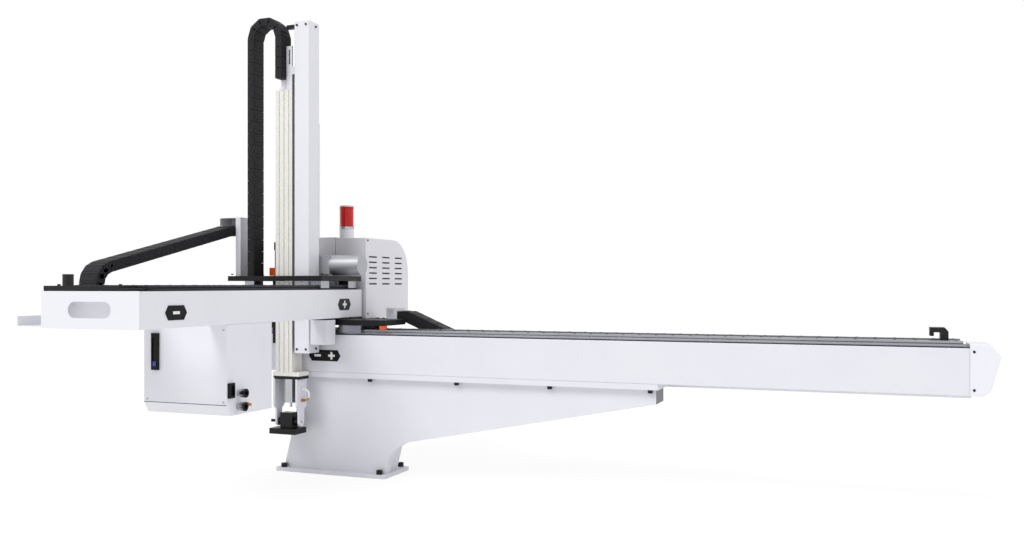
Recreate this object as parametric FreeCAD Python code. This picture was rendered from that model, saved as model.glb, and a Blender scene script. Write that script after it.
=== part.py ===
import FreeCAD, Part
import math
import os

# Cartesian take-out robot for an injection moulding machine.
# A pedestal carries a long traverse beam. A carriage on the beam carries a crosswise frame,
# and an arm carriage on the frame carries a telescopic vertical arm with a flip wrist.
# All sizes are in mm. The origin is the centre of the base plate's underside, +X runs along
# the traverse beam to its long end, +Y away from the operator and +Z up.

# Base plate and pedestal
base_length = 500.0
base_depth = 205.0
base_thickness = 16.0
base_bolt_spacing_x = 440.0
base_bolt_spacing_y = 180.0
base_bolt_diameter = 16.0
base_bolt_reach = 35.0
base_bolt_neck_radius = 7.0
base_recess_radius = 16.0
base_recess_depth = 1.0
bolt_hole_clearance = 0.5
core_hole_diameter = 80.0
pedestal_left = -228.0
pedestal_foot_width = 456.0
pedestal_front = -75.0
pedestal_depth = 120.0
pedestal_height = 374.0
pedestal_wall = 10.0
pedestal_lean = 91.0
pedestal_reach = 1318.0
pedestal_tip_height = 53.0
pedestal_taper = 0.1948
gusset_thickness = 38.0
gusset_radius = 133.0
gusset_overhang = 12.0
flange_thickness = 21.0
flange_left = -150.0
flange_overhang = 12.0
flange_bolt_diameter = 12.0
flange_bolt_pitch = 374.0
flange_bolt_inset = 13.0

# Traverse beam
beam_left = -398.0
beam_length = 2716.0
beam_front = -102.5
beam_depth = 170.0
beam_height = 150.0
beam_wall = 8.0
end_panel_thickness = 6.0
end_cover_length = 89.0
end_cover_slant = 32.0
end_cover_rise = 9.0
bed_thickness = 4.0
rail_width = 20.0
rail_height = 18.0
rail_inset = 20.0
traverse_stroke = 1800.0
stop_position = 2205.0
stop_length = 55.0
stop_height = 57.0
stop_width = 70.0

# Linear guides, racks and pinions
block_width = 44.0
block_clearance_below = 6.0
running_clearance = 0.08
guide_height = 34.0
traverse_block_length = 99.0
right_block_inset = 107.0
gear_teeth = 18
traverse_gear_module = 4.0
small_gear_module = 3.0
flank_clearance = 0.15
traverse_rack_depth = 16.0
small_rack_depth = 15.0
rack_height = 25.0
gear_overlap = 2.0
shaft_radius = 7.0
shaft_clearance = 2.0

# Traverse carriage
carriage_left = -395.0
carriage_length = 648.0
carriage_overhang = 1.5
carriage_thickness = 22.0
shelf_left = -245.0
shelf_right = 150.0
shelf_depth = 97.5
pad_thickness = 7.0

# Crosswise frame
frame_right = 52.0
frame_width = 378.0
frame_height = 113.0
frame_near = -1206.0
frame_far = 67.0
side_beam_width = 70.0
side_beam_wall = 5.0
end_cap_thickness = 4.0
handle_slot_length = 164.0
handle_slot_height = 48.0
crosswise_stroke = 320.0
near_stop_depth = 80.0
near_stop_thickness = 16.0
stop_post_radius = 16.0
stop_post_height = 35.0

# Valve box under the frame
valve_box_width = 343.0
valve_box_near = -811.0
valve_box_depth = 249.0
valve_box_height = 303.0
valve_box_bevel = 36.0
valve_box_wall = 3.0

# Cabinets on the traverse carriage
cabinet_left = -80.0
cabinet_width = 145.0
cabinet_gap = 10.0
cabinet_depth = 378.0
cabinet_height = 334.0
cabinet_corner_radius = 140.0
cabinet_wall = 3.0
louvre_length = 66.0
louvre_height = 6.0
louvre_pitch_y = 113.0
louvre_pitch_z = 22.6
side_cover_width = 156.0
side_cover_depth = 255.0
side_cover_height = 339.0
side_cover_gap = 4.0
light_diameter = 60.0
light_base_height = 48.0
light_lens_height = 88.0
traverse_motor_size = 76.0
traverse_motor_height = 190.0

# Arm carriage
arm_plate_near = -240.0
arm_plate_far = 60.0
arm_plate_thickness = 20.0
arm_plate_overhang = 58.0
window_width = 180.0
window_margin = 4.0
window_near = -208.0
arm_block_length = 60.0
upright_thickness = 15.0
upright_width = 38.0
upright_bottom = 640.0
upright_top = 900.0
guide_block_depth = 24.0
guide_block_width = 31.0
guide_block_height = 60.0
guide_drop = 250.0
crosswise_motor_size = 90.0
crosswise_motor_height = 139.0
crosswise_motor_y = -60.0
lift_axis_height = 43.0
lift_motor_radius = 40.0
lift_motor_length = 130.0
lift_gearbox_length = 38.0
motor_bracket_thickness = 8.0

# Vertical arm
arm_clearance = 22.5
column_beam_width = 63.0
column_beam_depth = 53.0
column_gap = 12.0
column_bottom = 497.0
column_length = 1294.0
column_wall = 5.0
column_cover_depth = 22.0
cover_sheet = 2.0
column_plate_thickness = 6.0
arm_rail_width = 15.0
arm_rail_height = 12.0
pulley_radius = 16.0
pulley_width = 16.0
pulley_inset_top = 31.0
pulley_inset_bottom = 28.0
pulley_pin_radius = 5.0
belt_thickness = 1.4
belt_gap = 0.3
lift_stroke = 500.0
tube_width = 77.0
tube_depth = 68.0
tube_gap = 16.0
tube_bottom = 414.0
tube_length = 1118.0
tube_wall = 5.0
tube_foot_thickness = 16.0
channel_width = 36.0
channel_depth = 8.0
stage_block_height = 60.0
slotted_bar_length = 172.0
slotted_bar_width = 26.0
clamp_height = 30.0

# Wrist
wrist_flange_thickness = 12.0
wrist_left = -202.0
wrist_width = 112.0
wrist_side_thickness = 8.0
wrist_drop = 171.0
wrist_lug_radius = 18.0
wrist_pin_radius = 6.0
wrist_gap = 2.0
tool_plate_width = 120.0
tool_plate_depth = 80.0
tool_plate_thickness = 22.0
tool_plate_drop = 25.0
tool_hole_radius = 3.3
tool_hole_spacing_x = 60.0
tool_hole_spacing_y = 50.0
hose_bend_radius = 22.0
hose_radius = 4.0

# Cable chains and their trays
link_length = 46.0
link_gap = 0.8
tray_sheet = 2.0
traverse_chain_height = 46.0
traverse_chain_width = 77.0
traverse_chain_radius = 65.0
traverse_chain_gap = 27.5
traverse_chain_fixed = 800.0
traverse_chain_bend = 1300.0
traverse_chain_knee = 456.0
traverse_chain_end = 200.0
traverse_chain_climb = 88.0
traverse_tray_drop = 24.0
traverse_tray_wall = 45.0
crosswise_chain_height = 38.0
crosswise_chain_width = 76.0
crosswise_chain_middle = -424.0
crosswise_chain_radius = 75.0
crosswise_chain_bend = -834.0
crosswise_chain_rise = 38.0
crosswise_chain_top_radius = 60.0
crosswise_chain_slope = 13.3
crosswise_chain_knee = -191.0
crosswise_chain_end = -115.0
crosswise_tray_width = 164.0
crosswise_tray_near = -1150.0
crosswise_tray_far = 40.0
crosswise_tray_wall = 32.0
lift_chain_height = 30.0
lift_chain_width = 67.0
lift_chain_radius = 65.0
lift_chain_near = -226.0
lift_chain_foot = 5.0
lift_chain_top = 1739.0
lift_chain_hang = 166.0

# Positions that follow from the sizes above
flange_bottom = base_thickness + pedestal_height
beam_bottom = flange_bottom + flange_thickness
beam_top = beam_bottom + beam_height
bed_top = beam_top + bed_thickness
carriage_bottom = bed_top + guide_height
carriage_top = carriage_bottom + carriage_thickness
frame_bottom = carriage_top + pad_thickness
frame_top = frame_bottom + frame_height
arm_plate_bottom = frame_top + guide_height
arm_plate_top = arm_plate_bottom + arm_plate_thickness
beam_right = beam_left + beam_length
beam_rear = beam_front + beam_depth
carriage_right = carriage_left + carriage_length
frame_left = frame_right - frame_width
slot_left = frame_left + side_beam_width
slot_right = frame_right - side_beam_width
window_right = slot_right - window_margin
window_left = window_right - window_width
column_right = window_right - column_gap
column_left = column_right - column_beam_width
tube_right = column_left - tube_gap
tube_left = tube_right - tube_width
tube_middle = (tube_left + tube_right) / 2
arm_rear = beam_front - arm_clearance
tube_front = arm_rear - tube_depth
beam_face = arm_rear - column_beam_depth
cover_front = beam_face - column_cover_depth
column_top = column_bottom + column_length
tube_top = tube_bottom + tube_length
upright_near = arm_rear + 28.0
upright_far = upright_near + upright_thickness
rear_rail_x = column_left + 16.5
side_rail_y = (tube_front + arm_rear) / 2 + 6.5
traverse_gear_radius = traverse_gear_module * gear_teeth / 2
small_gear_radius = small_gear_module * gear_teeth / 2
traverse_motor_x = cabinet_left + 60.0
traverse_motor_y = beam_rear + traverse_rack_depth + traverse_gear_radius
crosswise_motor_x = slot_left + small_rack_depth + small_gear_radius
lift_gear_y = arm_rear + small_rack_depth + small_gear_radius
lift_gear_z = arm_plate_top + lift_axis_height
lift_rack_right = column_right - 6.0
pulley_x = column_left + 19.0
pulley_rear = beam_face - 3.0
wrist_top = tube_bottom - tube_foot_thickness - wrist_flange_thickness
wrist_axis_y = (tube_front + arm_rear) / 2 - 1.0
wrist_axis_z = wrist_top - wrist_drop
wrist_right = wrist_left + wrist_width
wrist_flange_right = column_left + 16.0
cabinet_near = frame_far + cabinet_gap
cabinet_right = cabinet_left + cabinet_width


def box(x, y, z):
    """A block between two limits on each axis."""
    return Part.makeBox(x[1] - x[0], y[1] - y[0], z[1] - z[0], FreeCAD.Vector(x[0], y[0], z[0]))


def along(axis):
    """The unit vector of a row axis."""
    return {"x": FreeCAD.Vector(1, 0, 0), "y": FreeCAD.Vector(0, 1, 0),
            "z": FreeCAD.Vector(0, 0, 1)}[axis]


def rod(x, y, z, radius, length, axis="z"):
    """A cylinder that starts at a point and runs along a row axis."""
    return Part.makeCylinder(radius, length, FreeCAD.Vector(x, y, z), along(axis))


def prism(points, axis, start, end):
    """A polygon swept along an axis. The points are the other two coordinates in order."""
    place = {
        "x": lambda a, b: FreeCAD.Vector(start, a, b),
        "y": lambda a, b: FreeCAD.Vector(a, start, b),
        "z": lambda a, b: FreeCAD.Vector(a, b, start),
    }[axis]
    corners = [place(a, b) for a, b in points]
    face = Part.Face(Part.makePolygon(corners + [corners[0]]))
    return face.extrude(along(axis) * (end - start))


def joined(solids):
    """One solid from several that touch or overlap."""
    return solids[0].fuse(solids[1:]).removeSplitter()


def group(solids):
    """Separate solids that share one node."""
    return Part.makeCompound(solids)


def hollow_bar(x, y, z, wall, axis):
    """A rectangular tube that is open at both ends."""
    inner = []
    for name, (low, high) in zip("xyz", (x, y, z)):
        step = -1 if name == axis else wall
        inner.append((low + step, high - step))
    return box(x, y, z).cut(box(*inner))


def inset(points, distance):
    """A polygon moved inwards by a distance. The points run anticlockwise."""
    moved = []
    count = len(points)
    for index in range(count):
        ax, az = points[index - 1]
        bx, bz = points[index]
        cx, cz = points[(index + 1) % count]
        first = math.atan2(bz - az, bx - ax)
        turn = math.atan2(cz - bz, cx - bx) - first
        half = math.atan2(math.sin(turn), math.cos(turn)) / 2
        middle = first + half + math.pi / 2
        reach = distance / math.cos(half)
        moved.append((bx + reach * math.cos(middle), bz + reach * math.sin(middle)))
    return moved


def cap_screw(x, y, z, diameter, axis="z", way=1):
    """The head of a socket cap screw on a face, with its socket."""
    head = Part.makeCylinder(diameter * 0.75, diameter, FreeCAD.Vector(x, y, z), along(axis) * way)
    middle = {"x": (y, z), "y": (x, z), "z": (x, y)}[axis]
    level = {"x": x, "y": y, "z": z}[axis]
    corners = [index * math.pi / 3 for index in range(6)]
    outline = [(middle[0] + diameter * 0.45 * math.cos(corner), middle[1] + diameter * 0.45 * math.sin(corner))
               for corner in corners]
    depths = sorted((level + way * diameter / 2, level + way * (diameter + 1.0)))
    return head.cut(prism(outline, axis, *depths))


def base_bolt_places():
    """Centres of the four bolts that hold the base plate down."""
    half_x = base_bolt_spacing_x / 2
    half_y = base_bolt_spacing_y / 2
    return [(-half_x, -half_y), (half_x, -half_y), (-half_x, half_y), (half_x, half_y)]


def base_plate():
    """The foot, with four bolt holes and the core hole under the pedestal."""
    plate = box((-base_length / 2, base_length / 2), (-base_depth / 2, base_depth / 2),
                (0, base_thickness))
    hole = base_bolt_diameter / 2 + bolt_hole_clearance
    for x, y in base_bolt_places():
        plate = plate.cut(rod(x, y, -1, hole, base_thickness + 2))
    recesses = [rod(x, y, -1, base_recess_radius, base_recess_depth + 1) for x, y in base_bolt_places()]
    plate = plate.cut(group(recesses))
    return plate.cut(rod(0, 0, -1, core_hole_diameter / 2, base_thickness + 2))


def base_bolts():
    """Socket screws whose shanks stand out below the base plate."""
    bolts = []
    for x, y in base_bolt_places():
        thread = rod(x, y, -base_bolt_reach, base_bolt_diameter / 2, base_bolt_reach)
        neck = rod(x, y, 0, base_bolt_neck_radius, base_thickness)
        bolts.append(joined([thread, neck, cap_screw(x, y, base_thickness, base_bolt_diameter)]))
    return group(bolts)


def taper_height(x):
    """Height of the pedestal's sloping underside at a place along the beam."""
    tip = flange_bottom - pedestal_tip_height
    return tip - pedestal_taper * (pedestal_reach - x)


def pedestal_outline():
    """Side view of the pedestal's main box: a leaning back, a straight throat, a long taper."""
    right = pedestal_left + pedestal_foot_width
    neck = right + gusset_thickness * 0.75
    return [
        (pedestal_left, base_thickness),
        (right, base_thickness),
        (neck, taper_height(neck)),
        (pedestal_reach, taper_height(pedestal_reach)),
        (pedestal_reach, flange_bottom),
        (pedestal_left + pedestal_lean, flange_bottom),
    ]


def gusset_outline():
    """Side view of the front plate, which blends its throat with a concave arc."""
    right = pedestal_left + pedestal_foot_width + gusset_overhang
    slant = math.atan(pedestal_taper)
    centre_x = right + gusset_radius
    centre_z = taper_height(centre_x) - gusset_radius / math.cos(slant)
    points = [(pedestal_left, base_thickness), (right, base_thickness)]
    for step in range(9):
        angle = math.pi - (math.pi / 2 - slant) * step / 8
        points.append((centre_x + gusset_radius * math.cos(angle),
                       centre_z + gusset_radius * math.sin(angle)))
    points.append((pedestal_reach, taper_height(pedestal_reach)))
    points.append((pedestal_reach, flange_bottom))
    points.append((pedestal_left + pedestal_lean, flange_bottom))
    return points


def pedestal():
    """The hollow pedestal with its long bracket and a cable hole through its foot."""
    wall = pedestal_wall
    gusset_rear = pedestal_front + gusset_thickness
    rear = pedestal_front + pedestal_depth
    front_part = prism(gusset_outline(), "y", pedestal_front, gusset_rear)
    rear_part = prism(pedestal_outline(), "y", gusset_rear, rear)
    room = prism(inset(pedestal_outline(), wall), "y", pedestal_front + wall, rear - wall)
    core = rod(0, 0, base_thickness - 1, core_hole_diameter / 2, wall + 2)
    return joined([front_part, rear_part]).cut(room).cut(core)


def flange_bolt_places():
    """Bolt places under the flange: four along each long edge."""
    last = pedestal_reach - 18.0
    rows = (beam_front + flange_bolt_inset, beam_front + beam_depth - flange_bolt_inset)
    return [(last - flange_bolt_pitch * step, y) for step in range(4) for y in rows]


def beam_flange():
    """The machined pad between the pedestal and the beam."""
    span = (flange_left, pedestal_reach + flange_overhang)
    pad = box(span, (beam_front, beam_front + beam_depth), (flange_bottom, beam_bottom))
    for x, y in flange_bolt_places():
        pad = pad.cut(rod(x, y, flange_bottom - 1, flange_bolt_diameter / 2, flange_thickness + 2))
    return pad


def flange_bolts():
    """Black screws that hold the beam from below."""
    bolts = []
    for x, y in flange_bolt_places():
        shank = rod(x, y, flange_bottom, flange_bolt_diameter / 2, flange_thickness)
        bolts.append(joined([shank, cap_screw(x, y, flange_bottom, flange_bolt_diameter, "z", -1)]))
    return group(bolts)


def traverse_beam():
    """The long hollow beam with the panel that closes its short end."""
    y = (beam_front, beam_rear)
    z = (beam_bottom, beam_top)
    bar = hollow_bar((beam_left, beam_right), y, z, beam_wall, "x")
    return joined([bar, box((beam_left - end_panel_thickness, beam_left), y, z)])


def beam_end_cover():
    """The nose cover on the long end, with its slanted face."""
    top = bed_top + end_cover_rise
    far = beam_right + end_cover_length
    points = [
        (beam_right, beam_bottom),
        (far - 50.0, beam_bottom),
        (far - 30.0, beam_bottom + 16.0),
        (far, top - 38.0),
        (far - end_cover_slant, top),
        (beam_right, top),
    ]
    return prism(points, "y", beam_front - 1.0, beam_rear + 1.0)


def beam_bed():
    """The dark strip on top of the beam under the rails."""
    return box((beam_left, beam_right), (beam_front + 2.5, beam_rear - 2.5), (beam_top, bed_top))


def rail_lines():
    """Centres of the two traverse rails across the beam."""
    return (beam_front + rail_inset, beam_rear - rail_inset)


def rail_section(middle, low):
    """The waisted cross-section of a guide rail."""
    half = rail_width / 2
    waist = half - 2.5
    return [
        (middle - half, low),
        (middle + half, low),
        (middle + half, low + 5.0),
        (middle + waist, low + 8.0),
        (middle + half, low + 11.0),
        (middle + half, low + rail_height),
        (middle - half, low + rail_height),
        (middle - half, low + 11.0),
        (middle - waist, low + 8.0),
        (middle - half, low + 5.0),
    ]


def traverse_rails():
    """Both guide rails of the traverse axis."""
    return group([prism(rail_section(y, bed_top), "x", beam_left + 8.0,
                        beam_right - 18.0) for y in rail_lines()])


def block_on_rail(centre, length, low, axis):
    """A carriage block that straddles its rail with a running clearance."""
    x, y = centre
    half = length / 2
    wide = block_width / 2
    slot = rail_width / 2 + running_clearance
    z = (low + block_clearance_below, low + guide_height)
    roof = low + rail_height + running_clearance
    if axis == "x":
        body = box((x - half, x + half), (y - wide, y + wide), z)
        return body.cut(box((x - half - 1, x + half + 1), (y - slot, y + slot), (low, roof)))
    body = box((x - wide, x + wide), (y - half, y + half), z)
    return body.cut(box((x - slot, x + slot), (y - half - 1, y + half + 1), (low, roof)))


def traverse_blocks():
    """Four bearing blocks under the traverse carriage."""
    half = traverse_block_length / 2
    places = (carriage_left + 6.0 + half, carriage_right - right_block_inset - half)
    return group([block_on_rail((x, y), traverse_block_length, bed_top,
                                "x") for x in places for y in rail_lines()])


def rack_teeth(mesh, before, after, module):
    """Tooth outline along a rack, as place and height over the pitch line.
    A gap is centred on the mesh place."""
    pitch = math.pi * module
    slope = math.tan(math.radians(20))
    half_tooth = pitch / 4 - flank_clearance / 2
    tip = 0.95 * module
    root = 1.25 * module
    points = [(mesh - before * pitch, -root)]
    for step in range(-before, after):
        middle = mesh + (step + 0.5) * pitch
        points.append((middle - half_tooth - root * slope, -root))
        points.append((middle - half_tooth + tip * slope, tip))
        points.append((middle + half_tooth - tip * slope, tip))
        points.append((middle + half_tooth + root * slope, -root))
    points.append((mesh + after * pitch, -root))
    return points


def pinion_outline(module):
    """Involute outline of a pinion, with one tooth centred on the angle zero."""
    pressure = math.radians(20)
    pitch_radius = module * gear_teeth / 2
    base_radius = pitch_radius * math.cos(pressure)
    tip_radius = pitch_radius + 0.95 * module
    root_radius = pitch_radius - 1.25 * module
    half_tooth = (math.pi * module / 4 - flank_clearance / 2) / pitch_radius
    offset = half_tooth + math.tan(pressure) - pressure
    flank = []
    for step in range(4):
        radius = base_radius + (tip_radius - base_radius) * step / 3
        roll = math.sqrt(max((radius / base_radius) ** 2 - 1, 0))
        flank.append((radius, offset - (roll - math.atan(roll))))
    points = []
    for tooth in range(gear_teeth):
        centre = 2 * math.pi * tooth / gear_teeth
        outline = [(root_radius, -math.pi / gear_teeth), (root_radius, -offset)]
        outline += [(radius, -angle) for radius, angle in flank]
        outline += [(radius, angle) for radius, angle in reversed(flank)]
        outline += [(root_radius, offset)]
        points += [(radius, centre + angle) for radius, angle in outline]
    return points


def turned_outline(module, a, b, facing):
    """A pinion outline round a centre, with one tooth towards the facing angle in degrees."""
    turn = math.radians(facing)
    points = []
    for radius, angle in pinion_outline(module):
        points.append((a + radius * math.cos(angle + turn), b + radius * math.sin(angle + turn)))
    return points


def traverse_rack_heights():
    """Bottom and top of the traverse rack on the beam's rear face."""
    top = beam_top - 6.0
    return (top - rack_height, top)


def traverse_rack():
    """The rack on the rear face of the beam, with its teeth to the rear."""
    pitch = math.pi * traverse_gear_module
    line = beam_rear + traverse_rack_depth
    after = int((traverse_stroke + 70.0) / pitch)
    teeth = rack_teeth(traverse_motor_x, 4, after, traverse_gear_module)
    points = [(x, line + height) for x, height in teeth]
    points = [(points[0][0], beam_rear)] + points + [(points[-1][0], beam_rear)]
    low, high = traverse_rack_heights()
    return prism(points, "z", low, high)


def traverse_pinion():
    """The driven gear of the traverse axis with its shaft up into the gearmotor."""
    low, high = traverse_rack_heights()
    outline = turned_outline(traverse_gear_module, traverse_motor_x, traverse_motor_y, -90)
    gear = prism(outline, "z", low - gear_overlap, high + gear_overlap)
    shaft = rod(traverse_motor_x, traverse_motor_y, high, shaft_radius, carriage_top + 20.0 - high)
    return joined([gear, shaft])


def end_stops():
    """The hooked stop on the long end of the beam and the plate stop on the short end."""
    right = stop_position + stop_length
    top = bed_top + stop_height
    points = [
        (right - 24.0, bed_top),
        (right, bed_top),
        (right, top - 12.0),
        (right - 10.0, top),
        (stop_position, top),
        (stop_position, top - 27.0),
        (stop_position + 12.0, top - 27.0),
        (stop_position + 12.0, top - 15.0),
        (right - 24.0, top - 15.0),
    ]
    middle = (beam_front + beam_rear) / 2
    half = stop_width / 2
    hook = prism(points, "y", middle - half, middle + half)
    panel = beam_left - end_panel_thickness
    plate = box((panel - 8.0, panel), (middle - half, middle + half),
                (beam_top - 20.0, bed_top + stop_height))
    return group([hook, plate])


def link_outline(a, b, lean_a, lean_b, height):
    """Side view of one chain link, cut square to the bend at both of its pins."""
    angle = math.atan2(b[1] - a[1], b[0] - a[0])
    run = (math.cos(angle), math.sin(angle))
    side = (-run[1], run[0])
    half = height / 2
    corners = []
    for pin, lean, way, out in ((a, lean_a, 1, half), (b, lean_b, -1, half), (b, lean_b, -1, -half),
                                (a, lean_a, 1, -half)):
        shift = way * (link_gap / 2 + out * math.tan(lean / 2))
        corners.append((pin[0] + run[0] * shift + side[0] * out, pin[1] + run[1] * shift + side[1] * out))
    return corners


def chain(runs, height, axis, near, far):
    """One group of links for each run of pins. Each run starts where the last one ends."""
    pins = [runs[0][0]]
    for run in runs:
        pins += run[1:]
    headings = [math.atan2(b[1] - a[1], b[0] - a[0]) for a, b in zip(pins, pins[1:])]
    leans = [0.0]
    for first, second in zip(headings, headings[1:]):
        leans.append(math.atan2(math.sin(second - first), math.cos(second - first)))
    leans.append(0.0)
    solids = []
    for index in range(len(headings)):
        outline = link_outline(pins[index], pins[index + 1], leans[index], leans[index + 1], height)
        solids.append(prism(outline, axis, near, far))
    groups = []
    for run in runs:
        groups.append(group(solids[:len(run) - 1]))
        solids = solids[len(run) - 1:]
    return groups


def straight_pins(start, end):
    """Pins spaced near the link length between two points."""
    length = math.hypot(end[0] - start[0], end[1] - start[1])
    count = max(1, round(length / link_length))
    pins = []
    for step in range(count + 1):
        share = step / count
        pins.append((start[0] + (end[0] - start[0]) * share, start[1] + (end[1] - start[1]) * share))
    return pins


def bend_pins(centre, radius, start, end, count):
    """Pins on a circle between two angles in degrees."""
    pins = []
    for step in range(count + 1):
        angle = math.radians(start + (end - start) * step / count)
        pins.append((centre[0] + radius * math.cos(angle), centre[1] + radius * math.sin(angle)))
    return pins


def traverse_chain_sides():
    """Near and far side of the traverse chain, behind the beam."""
    return (beam_rear + traverse_chain_gap, beam_rear + traverse_chain_gap + traverse_chain_width)


def traverse_chain_low():
    """Middle height of the lower run, which lies on the tray's floor."""
    return beam_bottom - traverse_tray_drop + traverse_chain_height / 2


def traverse_chain_high():
    """Middle height of the upper run."""
    return traverse_chain_low() + 2 * traverse_chain_radius


def traverse_tray():
    """The sheet tray behind the beam with its brackets and the chain's fixed clamp."""
    near, far = traverse_chain_sides()
    inner = near - 10.0
    outer = far + 6.0
    floor = beam_bottom - traverse_tray_drop
    span = (beam_left + 18.0, beam_right + 19.0)
    top = floor + traverse_tray_wall
    solids = [box(span, (inner, outer), (floor - tray_sheet, floor))]
    solids.append(box(span, (inner, inner + tray_sheet), (floor, top)))
    solids.append(box(span, (outer - tray_sheet, outer), (floor, top)))
    for step in range(5):
        x = beam_left + 60.0 + step * (beam_length - 160.0) / 4
        solids.append(box((x, x + 40.0), (beam_rear, inner), (beam_bottom + 4.0, top)))
    clamp = traverse_chain_fixed + link_gap / 2
    solids.append(box((clamp - 20.0, clamp), (near, far), (floor, floor + traverse_chain_height)))
    return joined(solids)


def traverse_chain():
    """The lower run, the bend and the upper run, which climbs to the carriage."""
    near, far = traverse_chain_sides()
    low = traverse_chain_low()
    high = traverse_chain_high()
    end_high = high + traverse_chain_climb
    lower = straight_pins((traverse_chain_fixed, low), (traverse_chain_bend, low))
    bend = bend_pins((traverse_chain_bend, low + traverse_chain_radius), traverse_chain_radius, -90, 90,
                     5)
    upper = straight_pins((traverse_chain_bend, high), (traverse_chain_knee, high))
    upper += straight_pins((traverse_chain_knee, high), (traverse_chain_end + link_length, end_high))[1:]
    upper.append((traverse_chain_end, end_high))
    return chain([lower, bend, upper], traverse_chain_height, "y", near, far)


def traverse_chain_bracket():
    """The white angle on the carriage that takes the chain's moving end."""
    near, far = traverse_chain_sides()
    end = traverse_chain_high() + traverse_chain_climb
    top = end + traverse_chain_height / 2 + 14.0
    y = (near, far - 7.0)
    seat = traverse_chain_end + link_gap / 2
    web = box((shelf_right, shelf_right + 6.0), y, (carriage_bottom, top))
    roof = box((shelf_right, seat), y, (top - 6.0, top))
    lug = box((seat - 10.0, seat), y, (end - traverse_chain_height / 2, top))
    return joined([web, roof, lug])


def carriage_plate():
    """The black plate on the traverse blocks, with its rear shelf and the frame's pads."""
    y = (beam_front - carriage_overhang, beam_rear)
    z = (carriage_bottom, carriage_top)
    solids = [box((carriage_left, carriage_right), y, z)]
    solids.append(box((shelf_left, shelf_right), (beam_rear, beam_rear + shelf_depth), z))
    for left in (frame_left, slot_right):
        solids.append(box((left, left + side_beam_width), (y[0], frame_far),
                          (carriage_top, frame_bottom)))
    radius = shaft_radius + shaft_clearance
    hole = rod(traverse_motor_x, traverse_motor_y, carriage_bottom - 1, radius, carriage_thickness + 2)
    return joined(solids).cut(hole)


def traverse_motor():
    """The gearmotor inside the cabinet that drives the traverse pinion."""
    half = traverse_motor_size / 2
    x = (traverse_motor_x - half, traverse_motor_x + half)
    y = (traverse_motor_y - half, traverse_motor_y + half)
    gearbox = box(x, y, (carriage_top, carriage_top + 70.0))
    body = rod(traverse_motor_x, traverse_motor_y, carriage_top + 70.0, half - 4.0,
               traverse_motor_height - 70.0)
    bore = rod(traverse_motor_x, traverse_motor_y, carriage_top - 1, shaft_radius + shaft_clearance, 26.0)
    return joined([gearbox, body]).cut(bore)


def frame_end_cap():
    """The sheet across the near end with its round-ended handle slot."""
    y = (frame_near - end_cap_thickness, frame_near)
    sheet = box((frame_left, frame_right), y, (frame_bottom, frame_top))
    radius = handle_slot_height / 2
    middle = (frame_left + frame_right) / 2
    half = handle_slot_length / 2 - radius
    z = (frame_bottom + frame_top) / 2
    depth = end_cap_thickness + 2
    slot = box((middle - half, middle + half), (y[0] - 1, y[1] + 1), (z - radius, z + radius))
    ends = [rod(middle + way * half, y[0] - 1, z, radius, depth, "y") for way in (-1, 1)]
    return sheet.cut(joined([slot] + ends))


def frame_beams():
    """The two long box beams of the crosswise frame."""
    z = (frame_bottom, frame_top)
    y = (frame_near, frame_far)
    lefts = (frame_left, slot_right)
    return group([hollow_bar((x, x + side_beam_width), y, z, side_beam_wall, "y") for x in lefts])


def frame_rail_lines():
    """Centres of the two crosswise rails along X."""
    return (frame_left + side_beam_width / 2, frame_right - side_beam_width / 2)


def frame_rails():
    """Both guide rails on top of the crosswise frame."""
    near = frame_near + near_stop_depth + 2.0
    return group([prism(rail_section(x, frame_top), "y", near, frame_far - 5.0) for x in frame_rail_lines()])


def crosswise_rack():
    """The rack on the inner face of the left beam, with its teeth towards the arm."""
    pitch = math.pi * small_gear_module
    line = slot_left + small_rack_depth
    before = int((crosswise_stroke + 60.0) / pitch)
    teeth = rack_teeth(crosswise_motor_y, before, 6, small_gear_module)
    points = [(line + height, y) for y, height in teeth]
    points = [(slot_left, points[0][1])] + points + [(slot_left, points[-1][1])]
    top = frame_top - 16.0
    return prism(points, "z", top - rack_height, top)


def crosswise_pinion():
    """The driven gear of the crosswise axis with its shaft up into the motor."""
    top = frame_top - 16.0
    outline = turned_outline(small_gear_module, crosswise_motor_x, crosswise_motor_y, 180)
    gear = prism(outline, "z", top - rack_height - gear_overlap, top + gear_overlap)
    shaft = rod(crosswise_motor_x, crosswise_motor_y, top, shaft_radius, arm_plate_top + 20.0 - top)
    return joined([gear, shaft])


def near_stop():
    """The black stop plate across the near end, with its screws and round post."""
    y = (frame_near - end_cap_thickness, frame_near + near_stop_depth - end_cap_thickness)
    top = frame_top + near_stop_thickness
    left = frame_left + 11.0
    plate = box((left, slot_right - 4.0), y, (frame_top, top))
    foot = box((slot_right - 4.0, slot_right + 30.0), y, (frame_top, frame_top + 8.0))
    post = rod(left + 72.0, y[0] + 25.0, top, stop_post_radius, stop_post_height)
    screws = [rod(x, y[0] + 40.0, top, 5.0, 5.0) for x in (left + 20.0, left + 150.0, left + 260.0)]
    return joined([plate, foot, post] + screws)


def valve_box():
    """The closed sheet box under the frame, with a bevelled lower front edge."""
    near = valve_box_near
    far = near + valve_box_depth
    low = frame_bottom - valve_box_height
    outline = [(near + 20.0, low), (far, low), (far, frame_bottom), (near, frame_bottom),
               (near, low + valve_box_bevel)]
    right = frame_right
    left = right - valve_box_width
    outer = prism(outline, "x", left, right)
    room = prism(inset(outline, valve_box_wall), "x", left + valve_box_wall, right - valve_box_wall)
    entry = rod((left + right) / 2, far - valve_box_wall - 1, low + 60.0, 14.0, valve_box_wall + 2, "y")
    return outer.cut(room).cut(entry)


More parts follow.
